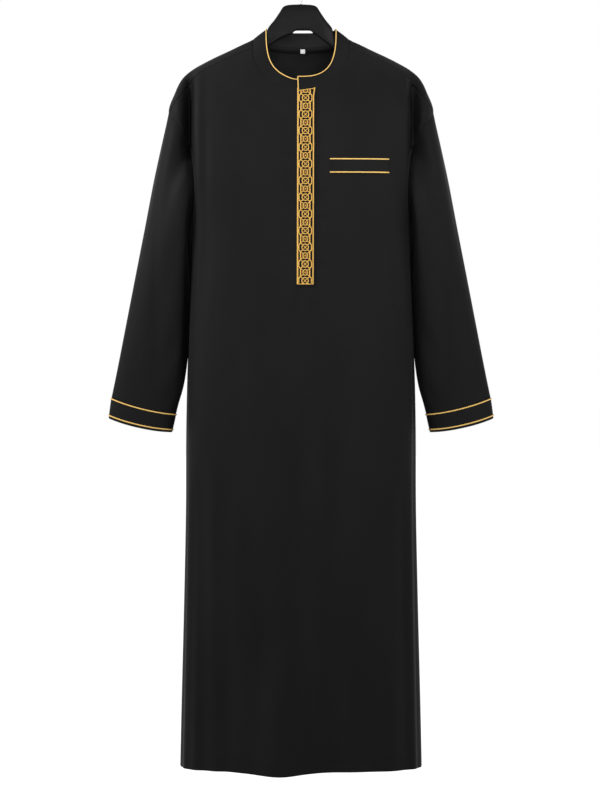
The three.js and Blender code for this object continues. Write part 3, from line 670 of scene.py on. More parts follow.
def mesh_object(name, vertices, faces, grain, material):
    """A mesh in metres, facing out, with its cloth coordinates kept as an attribute."""
    vertices = np.asarray(vertices, float) * MM
    mesh = bpy.data.meshes.new(name)
    mesh.from_pydata(vertices.tolist(), [], [tuple(face) for face in faces])
    mesh.update()
    attribute = mesh.attributes.new("grain", "FLOAT_VECTOR", "POINT")
    attribute.data.foreach_set("vector", (np.asarray(grain, float) * MM).ravel())
    mesh.polygons.foreach_set("use_smooth", [True] * len(mesh.polygons))
    if volume_of(mesh) < 0:
        mesh.flip_normals()
    obj = bpy.data.objects.new(name, mesh)
    bpy.context.scene.collection.objects.link(obj)
    mesh.materials.append(material)
    return obj


def volume_of(mesh):
    """The signed volume inside a mesh, which tells whether its faces point out."""
    mesh.calc_loop_triangles()
    corners = np.zeros(len(mesh.loop_triangles) * 3, int)
    mesh.loop_triangles.foreach_get("vertices", corners)
    places = np.zeros(len(mesh.vertices) * 3)
    mesh.vertices.foreach_get("co", places)
    p, q, r = (places.reshape(-1, 3)[corners.reshape(-1, 3)[:, k]] for k in range(3))
    return float((p * np.cross(q, r)).sum())


def grid_faces(rows, columns, closed_columns, closed_rows, start=0):
    """Quads of a grid, which may join its own ends either way."""
    j = np.arange(rows if closed_rows else rows - 1)[:, None]
    i = np.arange(columns if closed_columns else columns - 1)[None, :]
    a = j * columns + i
    b = j * columns + (i + 1) % columns
    c = ((j + 1) % rows) * columns + (i + 1) % columns
    d = ((j + 1) % rows) * columns + i
    return (np.stack([a, b, c, d], -1).reshape(-1, 4) + start).tolist()


def sheet_faces(rows, columns, closed_columns, closed_rows=False, start=0):
    """Faces of a sheet: a grid, the grid that follows it turned over, and the rim between them."""
    count = rows * columns
    faces = grid_faces(rows, columns, closed_columns, closed_rows, start)
    faces += [[a + count, d + count, c + count, b + count] for a, b, c, d in faces]
    if not closed_rows:
        for i in range(columns if closed_columns else columns - 1):
            a, b = start + i, start + (i + 1) % columns
            faces.append([a, a + count, b + count, b])
            a, b = a + count - columns, b + count - columns
            faces.append([a, b, b + count, a + count])
    if not closed_columns:
        for j in range(rows if closed_rows else rows - 1):
            a, b = start + j * columns, start + (j + 1) % rows * columns
            faces.append([a, b, b + count, a + count])
            a, b = a + columns - 1, b + columns - 1
            faces.append([a, a + count, b + count, b])
    return faces


def shell(name, outer, grain, thickness, material, closed=False, inwards=None):
    """A sheet of cloth with its own thickness, from a grid of outer points."""
    if inwards is None:
        inwards = -grid_normals(outer, closed)
    inner = outer + inwards * thickness
    vertices = np.concatenate([outer.reshape(-1, 3), inner.reshape(-1, 3)])
    both = np.concatenate([grain.reshape(-1, 3)] * 2)
    return mesh_object(name, vertices, sheet_faces(*outer.shape[:2], closed), both, material)


def sweep(name, centres, sections, grain, material, closed=False):
    """A body through a row of closed sections, capped at both ends unless it joins itself."""
    rows, columns = sections.shape[:2]
    faces = grid_faces(rows, columns, True, closed)
    vertices = sections.reshape(-1, 3)
    marks = grain.reshape(-1, 3)
    if not closed:
        first, last = len(vertices), len(vertices) + 1
        vertices = np.concatenate([vertices, centres[:1], centres[-1:]])
        marks = np.concatenate([marks, marks[:1], marks[-1:]])
        end = (rows - 1) * columns
        for i in range(columns):
            k = (i + 1) % columns
            faces.append([first, k, i])
            faces.append([last, end + i, end + k])
    return mesh_object(name, vertices, faces, marks, material)


def unit(vectors):
    return vectors / np.maximum(np.linalg.norm(vectors, axis=-1, keepdims=True), 1e-9)


def facing_away(directions, points, centre):
    """The same directions, turned round where they don't point away from a centre."""
    return directions * np.sign((directions * (points - centre)).sum(-1, keepdims=True))


def path_length(points):
    """The distance along a path to each of its points."""
    return np.concatenate([[0], np.cumsum(np.linalg.norm(np.diff(points, axis=0), axis=-1))])


def spaced(points, pitch, closed=False):
    """Points every pitch along a path."""
    if closed:
        points = np.concatenate([points, points[:1]])
    length = path_length(points)
    count = max(2, int(round(length[-1] / pitch)))
    at = np.linspace(0, length[-1], count + 1)
    if closed:
        at = at[:-1]
    return np.stack([np.interp(at, length, points[:, k]) for k in range(points.shape[1])], -1)


END_SHARE = 0.06  # how small a cord's tapered end gets, as a share of its section's area


def cord(name, points, normals, radius, material, closed=False, flat=0.82, sides=12):
    """A sewn-in cord along a path: round, a little flattened, with tapered ends."""
    tangent = np.gradient(points, axis=0)
    if closed:
        tangent = np.roll(points, -1, axis=0) - np.roll(points, 1, axis=0)
    tangent = unit(tangent)
    side = unit(np.cross(normals, tangent))
    up = unit(np.cross(tangent, side))
    angle = np.linspace(0, 2 * math.pi, sides, endpoint=False)
    length = path_length(points)
    size = np.full(len(points), float(radius))
    if not closed:
        nearest = np.minimum(length, length[-1] - length) / radius
        size = radius * np.sqrt(np.clip(1 - (1 - np.clip(nearest, 0, 1)) ** 2, END_SHARE, 1))
    ring = (
        np.cos(angle)[None, :, None] * side[:, None, :]
        + flat * np.sin(angle)[None, :, None] * up[:, None, :]
    )
    sections = points[:, None, :] + ring * size[:, None, None]
    grain = np.zeros(sections.shape)
    grain[..., 0] = length[:, None]
    grain[..., 1] = angle[None, :] * radius
    # the third grain coordinate paints a highlight on the side that faces away from the cloth
    grain[..., 2] = np.maximum(0, np.sin(angle))[None, :]
    return sweep(name, points, sections, grain, material, closed)


STITCH = {"pitch": 3.2, "length": 2.3, "width": 0.45}


def stitches(name, paths, material):
    """Rows of single stitches. Each path is (points, normals) on the cloth."""
    vertices, faces = [], []
    stations = [(-0.5, 0.35, -0.12), (-0.3, 1.0, 0.2), (0.3, 1.0, 0.2), (0.5, 0.35, -0.12)]
    for points, normals in paths:
        both = spaced(np.concatenate([points, normals], -1), STITCH["pitch"])
        middle = (both[:-1, :3] + both[1:, :3]) / 2
        along = unit(both[1:, :3] - both[:-1, :3])
        up = unit(both[:-1, 3:])
        side = unit(np.cross(up, along))
        for p, t, n, s in zip(middle, along, up, side):
            first = len(vertices)
            for place, size, lift in stations:
                centre = p + t * place * STITCH["length"] + n * lift
                for c, d in ((1, 0), (0, 1), (-1, 0), (0, -1)):
                    vertices.append(centre + (s * c + n * d * 0.8) * size * STITCH["width"] / 2)
            for k in range(3):
                for i in range(4):
                    a = first + 4 * k
                    faces.append([a + i, a + (i + 1) % 4, a + 4 + (i + 1) % 4, a + 4 + i])
            faces.append([first, first + 3, first + 2, first + 1])
            faces.append([first + 12, first + 13, first + 14, first + 15])
    vertices = np.array(vertices)
    return mesh_object(name, vertices, faces, vertices * 0, material)


# Materials


class Nodes:
    """Short ways to add and join shader nodes."""

    def __init__(self, name):
        self.material = bpy.data.materials.new(name)
        self.material.use_nodes = True
        self.tree = self.material.node_tree
        self.shader = self.tree.nodes["Principled BSDF"]

    def add(self, kind, **values):
        node = self.tree.nodes.new(kind)
        for key, value in values.items():
            setattr(node, key, value)
        return node

    def join(self, source, target):
        self.tree.links.new(source, target)

    def math(self, operation, a, b=None):
        node = self.add("ShaderNodeMath", operation=operation)
        for socket, value in zip(node.inputs, (a, b)):
            if value is None:
                continue
            if isinstance(value, (int, float)):
                socket.default_value = value
            else:
                self.join(value, socket)
        return node.outputs[0]

    def grain(self):
        """The cloth's own coordinates, in metres."""
        split = self.add("ShaderNodeSeparateXYZ")
        source = self.add("ShaderNodeAttribute", attribute_name="grain")
        self.join(source.outputs["Vector"], split.inputs[0])
        return source.outputs["Vector"], split.outputs

    def place(self):
        return self.add("ShaderNodeTexCoord").outputs["Object"]

    def noise(self, vector, scale, detail=3.0, stretch=(1, 1, 1)):
        mapping = self.add("ShaderNodeMapping")
        mapping.inputs["Scale"].default_value = stretch
        self.join(vector, mapping.inputs["Vector"])
        node = self.add("ShaderNodeTexNoise")
        node.inputs["Scale"].default_value = scale
        node.inputs["Detail"].default_value = detail
        self.join(mapping.outputs[0], node.inputs["Vector"])
        return node.outputs["Fac"]

    def wave(self, value, pitch):
        """A wave from 0 to 1 that repeats every pitch metres."""
        turned = self.math("SINE", self.math("MULTIPLY", value, 2 * math.pi / pitch))
        return self.math("ADD", self.math("MULTIPLY", turned, 0.5), 0.5)

    def blend(self, *parts):
        """The sum of some values, each times its weight."""
        total = None
        for value, weight in parts:
            part = self.math("MULTIPLY", value, weight)
            total = part if total is None else self.math("ADD", total, part)
        return total

    def colour(self, value, low, high, start, end):
        """Runs the base colour from low to high while a value goes from start to end."""
        node = self.add("ShaderNodeValToRGB")
        for element, tone, position in zip(node.color_ramp.elements, (low, high), (start, end)):
            element.color = (*tone, 1)
            element.position = position
        self.join(value, node.inputs[0])
        self.join(node.outputs[0], self.shader.inputs["Base Color"])
        return node.color_ramp.elements

    def bump(self, height, strength, distance):
        node = self.add("ShaderNodeBump")
        node.inputs["Strength"].default_value = strength
        node.inputs["Distance"].default_value = distance
        self.join(height, node.inputs["Height"])
        self.join(node.outputs[0], self.shader.inputs["Normal"])

    def set(self, **values):
        for key, value in values.items():
            self.shader.inputs[key.replace("_", " ")].default_value = value

    def roughness(self, value, low, high):
        scaled = self.math("MULTIPLY", value, high - low)
        self.join(self.math("ADD", scaled, low), self.shader.inputs["Roughness"])


PAINTED_SHADE_STRENGTH = 600.0  # how much painted shade darkens the cloth's colour at the bottom of a valley, for each metre of grain
# the colour of that painted shade at its darkest
PAINTED_SHADE_COLOUR = (0.0004, 0.0004, 0.0004)


def suiting(name, dark, light, sheen, rough, wale=0.0011, thread=0.00046):
    """Fine twill: diagonal wales over single threads, with slubs, a slow change of tone, and painted shade
    where the third grain coordinate is set.
    """
    n = Nodes(name)
    vector, uv = n.grain()
    diagonal = n.wave(n.math("ADD", uv[0], uv[1]), wale)
    warp, weft = n.wave(uv[0], thread), n.wave(uv[1], thread)
    slub = n.noise(vector, 900, 2.0, (1, 0.06, 1))
    tone = n.noise(vector, 14, 3.0, (1, 0.35, 1))
    weave = n.blend((diagonal, 0.6), (warp, 0.2), (weft, 0.2))
    # the third grain coordinate paints shade into the valleys beside the armholes
    mixed = n.blend((weave, 0.34), (slub, 0.26), (tone, 0.40), (uv[2], -PAINTED_SHADE_STRENGTH))
    n.colour(mixed, dark, light, 0.25, 0.8).new(0.0).color = (*PAINTED_SHADE_COLOUR, 1)
    n.roughness(slub, rough - 0.06, rough + 0.06)
    n.bump(n.blend((weave, 1.0), (slub, 0.5)), 0.35, 0.00012)
    n.set(Specular_IOR_Level=0.05, Sheen_Weight=sheen, Sheen_Roughness=0.42, Sheen_Tint=(0.96, 0.97, 1.0, 1))
    return n.material


GOLD_GLOSS = {"Specular_IOR_Level": 0.3, "Specular_Tint": (1.0, 0.80, 0.42, 1), "Sheen_Weight": 0.05,
              "Sheen_Roughness": 0.35, "Sheen_Tint": (1.0, 0.80, 0.42, 1)}


def gold_satin():
    """Glossy rayon piping with ribs aslant, with painted light: paler on the crown, which is the third grain
    coordinate, and darker on the underside.
    """
    n = Nodes("gold_satin_piping")
    vector, uv = n.grain()
    ribs = n.wave(n.math("ADD", uv[0], uv[1]), 0.0009)
    fibres = n.noise(vector, 1400, 2.0, (1, 0.12, 1))
    tone = n.noise(vector, 60, 2.0)
    mixed = n.blend((ribs, 0.24), (fibres, 0.16), (tone, 0.16), (uv[2], 440.0))
    n.colour(mixed, (0.10, 0.042, 0.007), (0.69, 0.455, 0.14), 0.34, 0.80)
    n.roughness(fibres, 0.34, 0.5)
    n.bump(n.blend((ribs, 1.0), (fibres, 0.4)), 0.5, 0.00016)
    n.set(**GOLD_GLOSS)
    return n.material


def gold_thread():
    """Embroidery thread: the third grain coordinate is painted light, paler on each stitch's crown and ridge
    as painted highlight, darker at its edges as painted shade, and darker on low rows.
    """
    n = Nodes("gold_embroidery_thread")
    vector, uv = n.grain()
    fibres = n.noise(vector, 1700, 2.0, (1, 0.15, 1))
    mixed = n.blend((uv[2], 620.0), (fibres, 0.38))
    n.colour(mixed, (0.055, 0.018, 0.002), (0.74, 0.445, 0.100), 0.27, 0.94)
    n.roughness(fibres, 0.32, 0.48)
    n.bump(fibres, 0.35, 0.0001)
    n.set(**GOLD_GLOSS)
    return n.material


def label_tape():
    n = Nodes("label_tape")
    vector, uv = n.grain()
    ribs = n.wave(uv[1], 0.0005)
    soft = n.noise(vector, 700, 2.0)
    n.colour(n.blend((ribs, 0.4), (soft, 0.6)), (0.72, 0.72, 0.71), (0.90, 0.90, 0.89), 0.2, 0.8)
    n.roughness(soft, 0.45, 0.62)
    n.bump(ribs, 0.3, 0.00008)
    n.set(Specular_IOR_Level=0.35, Sheen_Weight=0.15)
    return n.material


def moulded_plastic():
    n = Nodes("hanger_moulded_plastic")
    place = n.place()
    fine = n.noise(place, 1500, 3.0)
    tone = n.noise(place, 18, 3.0)
    scuff = n.noise(place, 160, 5.0, (0.25, 1, 1))
    mixed = n.blend((tone, 0.6), (scuff, 0.4))
    n.colour(mixed, (0.0024, 0.0024, 0.0025), (0.0046, 0.0046, 0.0048), 0.3, 0.75)
    n.roughness(scuff, 0.26, 0.42)
    n.bump(n.blend((fine, 1.0), (scuff, 0.4)), 0.16, 0.00012)
    n.set(Specular_IOR_Level=0.065)
    return n.material


def plated_steel():
    n = Nodes("hook_plated_steel")
    drawn = n.noise(n.place(), 420, 4.0, (1, 1, 0.2))
    n.colour(drawn, (0.20, 0.20, 0.205), (0.36, 0.36, 0.365), 0.3, 0.7)
    n.roughness(drawn, 0.18, 0.34)
    n.bump(drawn, 0.08, 0.00005)
    n.set(Metallic=1.0)
    return n.material


FLOOR_GLOW = 0.14


def floor_material():
    n = Nodes("pale_floor")
    n.colour(n.noise(n.place(), 3, 2.0), (0.92, 0.92, 0.92), (0.95, 0.95, 0.95), 0.3, 0.7)
    n.set(Roughness=0.9, Specular_IOR_Level=0.0, Emission_Color=(1, 1, 1, 1), Emission_Strength=FLOOR_GLOW)
    return n.material


CLOTH = suiting("black_suiting", (0.0030, 0.0030, 0.0031), (0.0067, 0.0067, 0.0069), 0.02, 0.62)
TRIM = suiting("black_suiting_pressed", (0.0031, 0.0031, 0.0033), (0.0068, 0.0068, 0.0071), 0.02, 0.60)
# A lighter copy of the suiting, painted light for the inside of the collar
COLLAR_INSIDE_PAINTED_LIGHT = suiting("black_suiting_painted_light_collar", (0.0098, 0.0098, 0.0105), (0.0215, 0.0215, 0.0230), 0.04, 0.60)
# A lighter copy of the suiting, painted light for the inside of the back at the neck
NECK_INSIDE_PAINTED_LIGHT = suiting("black_suiting_painted_light_neck", (0.0062, 0.0062, 0.0065), (0.0140, 0.0140, 0.0146), 0.03, 0.60)
THREAD = suiting("black_thread", (0.0030, 0.0030, 0.0032), (0.0060, 0.0060, 0.0063), 0.02, 0.5,
                 wale=0.0006, thread=0.0003)
PIPING = gold_satin()
GOLD = gold_thread()
TAPE = label_tape()
PLASTIC = moulded_plastic()
STEEL = plated_steel()

pieces = {}


def keep(obj, slot, *nodes):
    """Puts a piece on the part's body, hides the nodes that it stands for and keeps it by name; its finish,
    slot, is not used.
    """
    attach(obj, BODY)
    if nodes:
        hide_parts(*nodes)
    pieces[obj.name] = obj


# Panels of cloth, with their edges turned in

# Steps past an edge: how far on along the cloth, and how far in, square to it
SEAM_STEPS = [(0.1, 0.35), (0.02, 1.1), (-0.6, 1.9), (-SEAM_ALLOWANCE, 2.4)]
HEM_STEPS = [(0.35, 0.25), (0.55, 0.9), (0.2, 1.6), (-2.0, 2.0),
             (-HEM_TURN_UP * 0.5, 1.9), (-HEM_TURN_UP, 1.9)]


def turned_in(edge, beside, normals, steps):
    """Rows of points past an edge, given the row beside it."""
    away = unit(edge - beside)
    return [edge + away * out - normals * depth for out, depth in steps]


def with_turned_edges(points, normals):
    """Adds the seam allowances at a panel's sides and top, and the turn-up of its hem."""
    left = turned_in(points[:, 0], points[:, 1], normals[:, 0], SEAM_STEPS)
    right = turned_in(points[:, -1], points[:, -2], normals[:, -1], SEAM_STEPS)
    points = np.concatenate([np.stack(left[::-1], 1), points, np.stack(right, 1)], 1)
    normals = np.pad(normals, ((0, 0), (len(left), len(right)), (0, 0)), "edge")
    hem = turned_in(points[0], points[1], normals[0], HEM_STEPS)
    top = turned_in(points[-1], points[-2], normals[-1], SEAM_STEPS)
    return np.concatenate([np.stack(hem[::-1]), points, np.stack(top)])


def cloth_grain(points):
    """Flat coordinates of a grid of cloth: across the rows and up the columns."""
    across = np.linalg.norm(np.diff(points, axis=1), axis=-1)
    u = np.concatenate([np.zeros((len(points), 1)), np.cumsum(across, 1)], 1)
    u -= u.mean(axis=1, keepdims=True)
    up = np.linalg.norm(np.diff(points, axis=0), axis=-1)
    v = np.concatenate([np.zeros((1, points.shape[1])), np.cumsum(up, 0)], 0)
    return np.stack([u, v, np.zeros_like(u)], -1)


def grain_with_painted_shade(points):
    """The same, with the painted shade of the valleys beside the armholes, in front, as its third coordinate.
    """
    grain = cloth_grain(points)
    grain[..., 2] = shadow_share(points[..., 0], points[..., 2]) * (points[..., 1] < SHADOW["back"])
    return grain


def make_panel(name, places, node):
    outer = with_turned_edges(trunk(*places), trunk_normals(*places))
    keep(shell(name, outer, grain_with_painted_shade(outer), CLOTH_THICKNESS, CLOTH), "cloth", node)


def paint_light_inside_neck(mesh):
    """Painted light: the inside of the back at the neck, where it faces forward behind the mid-plane, takes a
    lighter copy of the cloth.
    """
    mesh.materials.append(NECK_INSIDE_PAINTED_LIGHT)
    for face in mesh.polygons:
        x, y, z = face.center / MM
        near = abs(x) < NECK_PAINTED_LIGHT_AREA["half_width"] and z > NECK_PAINTED_LIGHT_AREA["bottom"]
        face.material_index = int(near and y > NECK_PAINTED_LIGHT_AREA["behind"] and face.normal.y < -0.2)


make_panel("front_cloth", front_places(), "front_panel")
make_panel("back_cloth", back_places(), "back_panel")
paint_light_inside_neck(pieces["back_cloth"].data)

# Sleeves and cuffs

SLEEVE_COLUMNS = 84
SLEEVE_ROWS = {"head": 30, "crowding": 1.35, "rest": 84}
LAST_RING = 8
SAG_FROM = 6.4
SLEEVE_TUCK = (3.6, 1.8)  # how deep the rows inside the armhole seam lie
sleeve_angles = np.linspace(180, -180, SLEEVE_COLUMNS, endpoint=False)


def mirrored(points, sign):
    return points * np.array([sign, 1, 1])


def sleeve_ring(outer_x, outer_z, inner_x, inner_z, front, back, shift):
    cos, sin = np.cos(np.radians(sleeve_angles)), np.sin(np.radians(sleeve_angles))
    across = (1 - np.sign(cos) * np.abs(cos) ** (2 / SLEEVE_POWER)) / 2
    depth = np.abs(sin) ** (2 / SLEEVE_POWER)
    y = np.where(sin > 0, -front * depth, back * depth)
    return np.stack([mix(outer_x, inner_x, across), y + shift, mix(outer_z, inner_z, across)], -1)


def sleeve_at(row, seam, plain):
    """One ring of the sleeve, at a place between the table's rows."""
    read = {key: float(read_column(SLEEVE, key, row, "row")) for key in SLEEVE}
    inner_x = half_width_at(read["inner_z"]) + read["clear"]
    ring = sleeve_ring(read["outer_x"], read["outer_z"], inner_x, read["inner_z"],
                       read["front"], read["back"], SLEEVE_BACK_SHIFT * float(smooth(row / 4)))
    return ring + (seam - plain) * read["seam"]


def sag():
    drop = np.zeros((SLEEVE_COLUMNS, 3))
    drop[:, 2] = -CUFF_SAG * np.sin(np.radians(sleeve_angles)) ** 2
    return drop


def sleeve_push(rows):
    """How far creases push the sleeve in, ring by ring."""
    push = np.zeros((len(rows), SLEEVE_COLUMNS))
    for ring, angle, along, across, depth, turn in zip(*SLEEVE_CREASES.values()):
        past = (rows - ring)[:, None]
        gap = (sleeve_angles[None, :] - angle - turn * past + 180) % 360 - 180
        push += depth * np.exp(-((past / along) ** 2) - (gap / across) ** 2)
    late = smooth((LAST_RING - rows) / 1.2) * smooth(rows / 0.6)
    return push * late[:, None]


def sleeve_grid():
    """Rings from the armhole to the cuff seam, with two tucked rows before them."""
    b, z = np.array([armhole_at(a) for a in sleeve_angles]).T
    normals = trunk_normals(b, z)
    seam = trunk(b, z) + normals * SLEEVE_OFF_TRUNK
    first = {key: SLEEVE[key][0] for key in SLEEVE}
    plain = sleeve_ring(first["outer_x"], first["outer_z"], half_width_at(UNDERARM), first["inner_z"],
                        first["front"], first["back"], 0)
    head = np.linspace(0, 1, SLEEVE_ROWS["head"])[:-1] ** SLEEVE_ROWS["crowding"]
    rows = np.concatenate([head, np.linspace(1, LAST_RING, SLEEVE_ROWS["rest"])])
    rings = np.array([sleeve_at(row, seam, plain) for row in rows])
    rings += sag()[None] * smooth((rows - SAG_FROM) / (LAST_RING - SAG_FROM))[:, None, None]
    outward = facing_away(grid_normals(rings, True), rings, rings.mean(axis=1, keepdims=True))
    rings -= outward * sleeve_push(rows)[..., None]
    return np.concatenate([np.stack([seam - normals * depth for depth in SLEEVE_TUCK]), rings])


sleeve_outer = sleeve_grid()
cuff_top = sleeve_outer[-1]
cuff_foot = sleeve_ring(**CUFF_END, shift=SLEEVE_BACK_SHIFT) + sag()
cuff_length = float(np.linalg.norm(cuff_foot[SLEEVE_COLUMNS // 2] - cuff_top[SLEEVE_COLUMNS // 2]))


def ring_out():
    """Outward directions of the cuff's rings, square to their outline and to the sleeve."""
    tangent = np.roll(cuff_top, -1, axis=0) - np.roll(cuff_top, 1, axis=0)
    axis = unit(cuff_foot.mean(axis=0) - cuff_top.mean(axis=0))
    return facing_away(unit(np.cross(tangent, axis)), cuff_top, cuff_top.mean(axis=0))


cuff_out = ring_out()

# The cuff from its seam to its edge, and back inside, as share of length and lift
CUFF_OUTSIDE = [(-0.03, -2.6), (0.0, -0.5), (0.015, 0.25)]
CUFF_OUTSIDE += [(t, 0.35 + 0.25 * math.sin(math.pi * t)) for t in np.linspace(0.06, 0.94, 9)]
CUFF_OUTSIDE += [(1.0, 0.2), (1.012, -0.5)]
CUFF_INSIDE = [(1.0, -1.5), (0.9, -1.9), (0.5, -2.0), (0.1, -2.0)]
CUFF_THICKNESS = 0.9
CUFF_INSIDE_SHARE = -0.2  # of that thickness, outwards, where the cuff is turned to its inside


def make_sleeve(side, sign):
    tail = cuff_top + (cuff_foot - cuff_top) * 0.02 - cuff_out * 1.4
    outer = mirrored(np.concatenate([sleeve_outer, tail[None]]), sign)
    inwards = -facing_away(grid_normals(outer, True), outer, outer.mean(axis=1, keepdims=True))
    sleeve = shell(f"sleeve_cloth_{side}", outer, grain_with_painted_shade(outer), CLOTH_THICKNESS, CLOTH, True, inwards)
    keep(sleeve, "cloth", f"sleeve_{side}")


def make_cuff(side, sign):
    profile = CUFF_OUTSIDE + CUFF_INSIDE
    outer = np.stack([mix(cuff_top, cuff_foot, share) + cuff_out * lift for share, lift in profile])
    outer = mirrored(outer, sign)
    reach = np.array([1.0] * len(CUFF_OUTSIDE) + [CUFF_INSIDE_SHARE] * len(CUFF_INSIDE))
    inwards = -mirrored(cuff_out, sign)[None] * reach[:, None, None]
    cuff = shell(f"cuff_cloth_{side}", outer, cloth_grain(outer), CUFF_THICKNESS, TRIM, True, inwards)
    keep(cuff, "trim_cloth", f"cuff_{side}")


def cuff_path(share, lift, sign):
    return mirrored(mix(cuff_top, cuff_foot, share) + cuff_out * lift, sign), mirrored(cuff_out, sign)


def make_cuff_pipings(side, sign):
    for name, share in (("upper", 0.035), ("lower", 1 - PIPING_UP_FROM_EDGE / cuff_length)):
        line = cuff_path(share, 1.0, sign)
        piping = cord(f"cuff_gold_{name}_{side}", *line, PIPING_RADIUS, PIPING, closed=True)
        keep(piping, "gold_thread", f"cuff_piping_{name}_{side}")


for side, sign in (("left", 1), ("right", -1)):
    make_sleeve(side, sign)
    make_cuff(side, sign)
    make_cuff_pipings(side, sign)

# Collar

COLLAR_STEPS = 260
OVER_END_STRAIGHT = 1.4  # degrees by which the overlapping end's foot is drawn in, to stand upright
OVER_END_REACH = 4
UNDER_END_DROP = 4.5
UNDER_END_DROP_FROM = 318
COVERED_FROM = 359.4  # degrees, where the overlapping end hides the piping of the lower one


def collar_top_point(degrees):
    sin, cos = math.sin(math.radians(degrees)), math.cos(math.radians(degrees))

    def curve(value):
        return math.copysign(abs(value) ** (2 / NECK_POWER), value)

    forward = max(0.0, curve(cos))
    drop = forward * (1.25 - 0.25 * forward)
    y = -COLLAR_FRONT * forward if cos > 0 else -COLLAR_BACK * curve(cos)
    return np.array([COLLAR_HALF_WIDTH * curve(sin), y, mix(COLLAR_SIDE_TOP, COLLAR_FRONT_TOP, drop)])


collar_angles = np.linspace(COLLAR_OVER_END, COLLAR_UNDER_END, COLLAR_STEPS + 1)


def collar_edges():
    """The collar's foot and top, all round, and its outward directions."""
    straight = OVER_END_STRAIGHT * np.exp(-(collar_angles - COLLAR_OVER_END) / OVER_END_REACH)
    foot = trunk(*np.array([neck_place(a) for a in collar_angles + straight]).T)
    top = np.array([collar_top_point(a) for a in collar_angles])
    top[:, 2] -= UNDER_END_DROP * smooth((collar_angles - UNDER_END_DROP_FROM) / (360 - UNDER_END_DROP_FROM))
    middle = (foot + top) / 2
    out = unit(np.cross(unit(np.gradient(middle, axis=0)), top - foot))
    out = facing_away(out, middle * [1, 1, 0], 0)
    tuck = UNDERLAP_INSET * smooth((collar_angles - UNDERLAP_FROM) / (UNDERLAP_TO - UNDERLAP_FROM))[:, None]
    return foot - out * tuck, top - out * tuck, out


collar_foot, collar_top, collar_out = collar_edges()
collar_height = float(np.linalg.norm(collar_top[1] - collar_foot[1]))

# The stand's closed outline as share of height and lift, up outside, over the rim and down inside
COLLAR_SECTION = [(t, 0.54 * math.sin(math.pi * t) - 0.25 * (t < 0.01)) for t in np.linspace(0, 0.965, 9)]
COLLAR_SECTION += [(0.988, -0.28), (1.0, -1.1), (0.988, -1.92)]
COLLAR_SECTION += [(t, -COLLAR_THICKNESS + 0.5 * math.sin(math.pi * t)) for t in np.linspace(0.965, -0.05, 8)]
COLLAR_SECTION += [(-0.07, -1.2)]
COLLAR_RIM = 10  # the highest of these


def make_collar():
    sections = np.stack(
        [mix(collar_foot, collar_top, share) + collar_out * lift for share, lift in COLLAR_SECTION], axis=1)
    grain = np.zeros(sections.shape)
    grain[..., 0] = path_length((collar_foot + collar_top) / 2)[:, None]
    grain[..., 1] = path_length(np.array(COLLAR_SECTION) * [collar_height, 1])[None, :]
    collar = sweep("collar_cloth", sections.mean(axis=1), sections, grain, TRIM)
    collar.data.materials.append(COLLAR_INSIDE_PAINTED_LIGHT)
    # the inside faces take the lighter copy of the suiting, painted light
    for k in range((len(sections) - 1) * len(COLLAR_SECTION)):
        collar.data.polygons[k].material_index = int(k % len(COLLAR_SECTION) > COLLAR_RIM)
    keep(collar, "trim_cloth", "collar")


def make_collar_pipings():
    share = 1 - 0.9 * COLLAR_PIPING_RADIUS / collar_height
    shown = collar_angles < COVERED_FROM
    points = mix(collar_foot, collar_top, share) + collar_out * 0.9
    edge = cord("collar_gold_edge", points[shown], collar_out[shown], COLLAR_PIPING_RADIUS, PIPING)
    keep(edge, "gold_thread", "collar_piping")
    inwards = unit(collar_foot[3] + collar_top[3] - collar_foot[0] - collar_top[0])
    heights = np.linspace(-0.10, share, 24)[:, None]
    down = mix(collar_foot[0], collar_top[0], heights) + inwards * 0.6 + collar_out[0] * 0.8
    end = cord("collar_gold_end", down, collar_out[:1] + 0 * down, COLLAR_PIPING_RADIUS, PIPING)
    keep(end, "gold_thread", "collar_end_piping")


make_collar()
make_collar_pipings()

# Placket and embroidered band


def on_front(x, z, lift):
    return front_point(x, z) + front_normals(x, z) * np.asarray(lift)[..., None]


def front_path(x, z, lift):
    """Points over a line on the front, and their outward directions."""
    x, z = np.broadcast_arrays(x, z)
    return on_front(x, z, np.full(x.shape, lift)), front_normals(x, z)


def neck_seam_z(x):
    """Height of the neckline in front, at some x."""
    share = np.clip(np.abs(np.asarray(x, float)) / NECK_HALF_WIDTH, 0, 1)
    angle = np.arcsin(share ** (NECK_POWER / 2))
    return mix(NECK_SIDE, NECK_FRONT, np.cos(angle) ** (2 / NECK_POWER))


# The rounded edge of a doubled piece: places from the edge in, and the share of its height there
EDGE_PLACES = np.array([0, 0.12, 0.45])
EDGE_RISE = np.array([0, 0.55, 0.9])


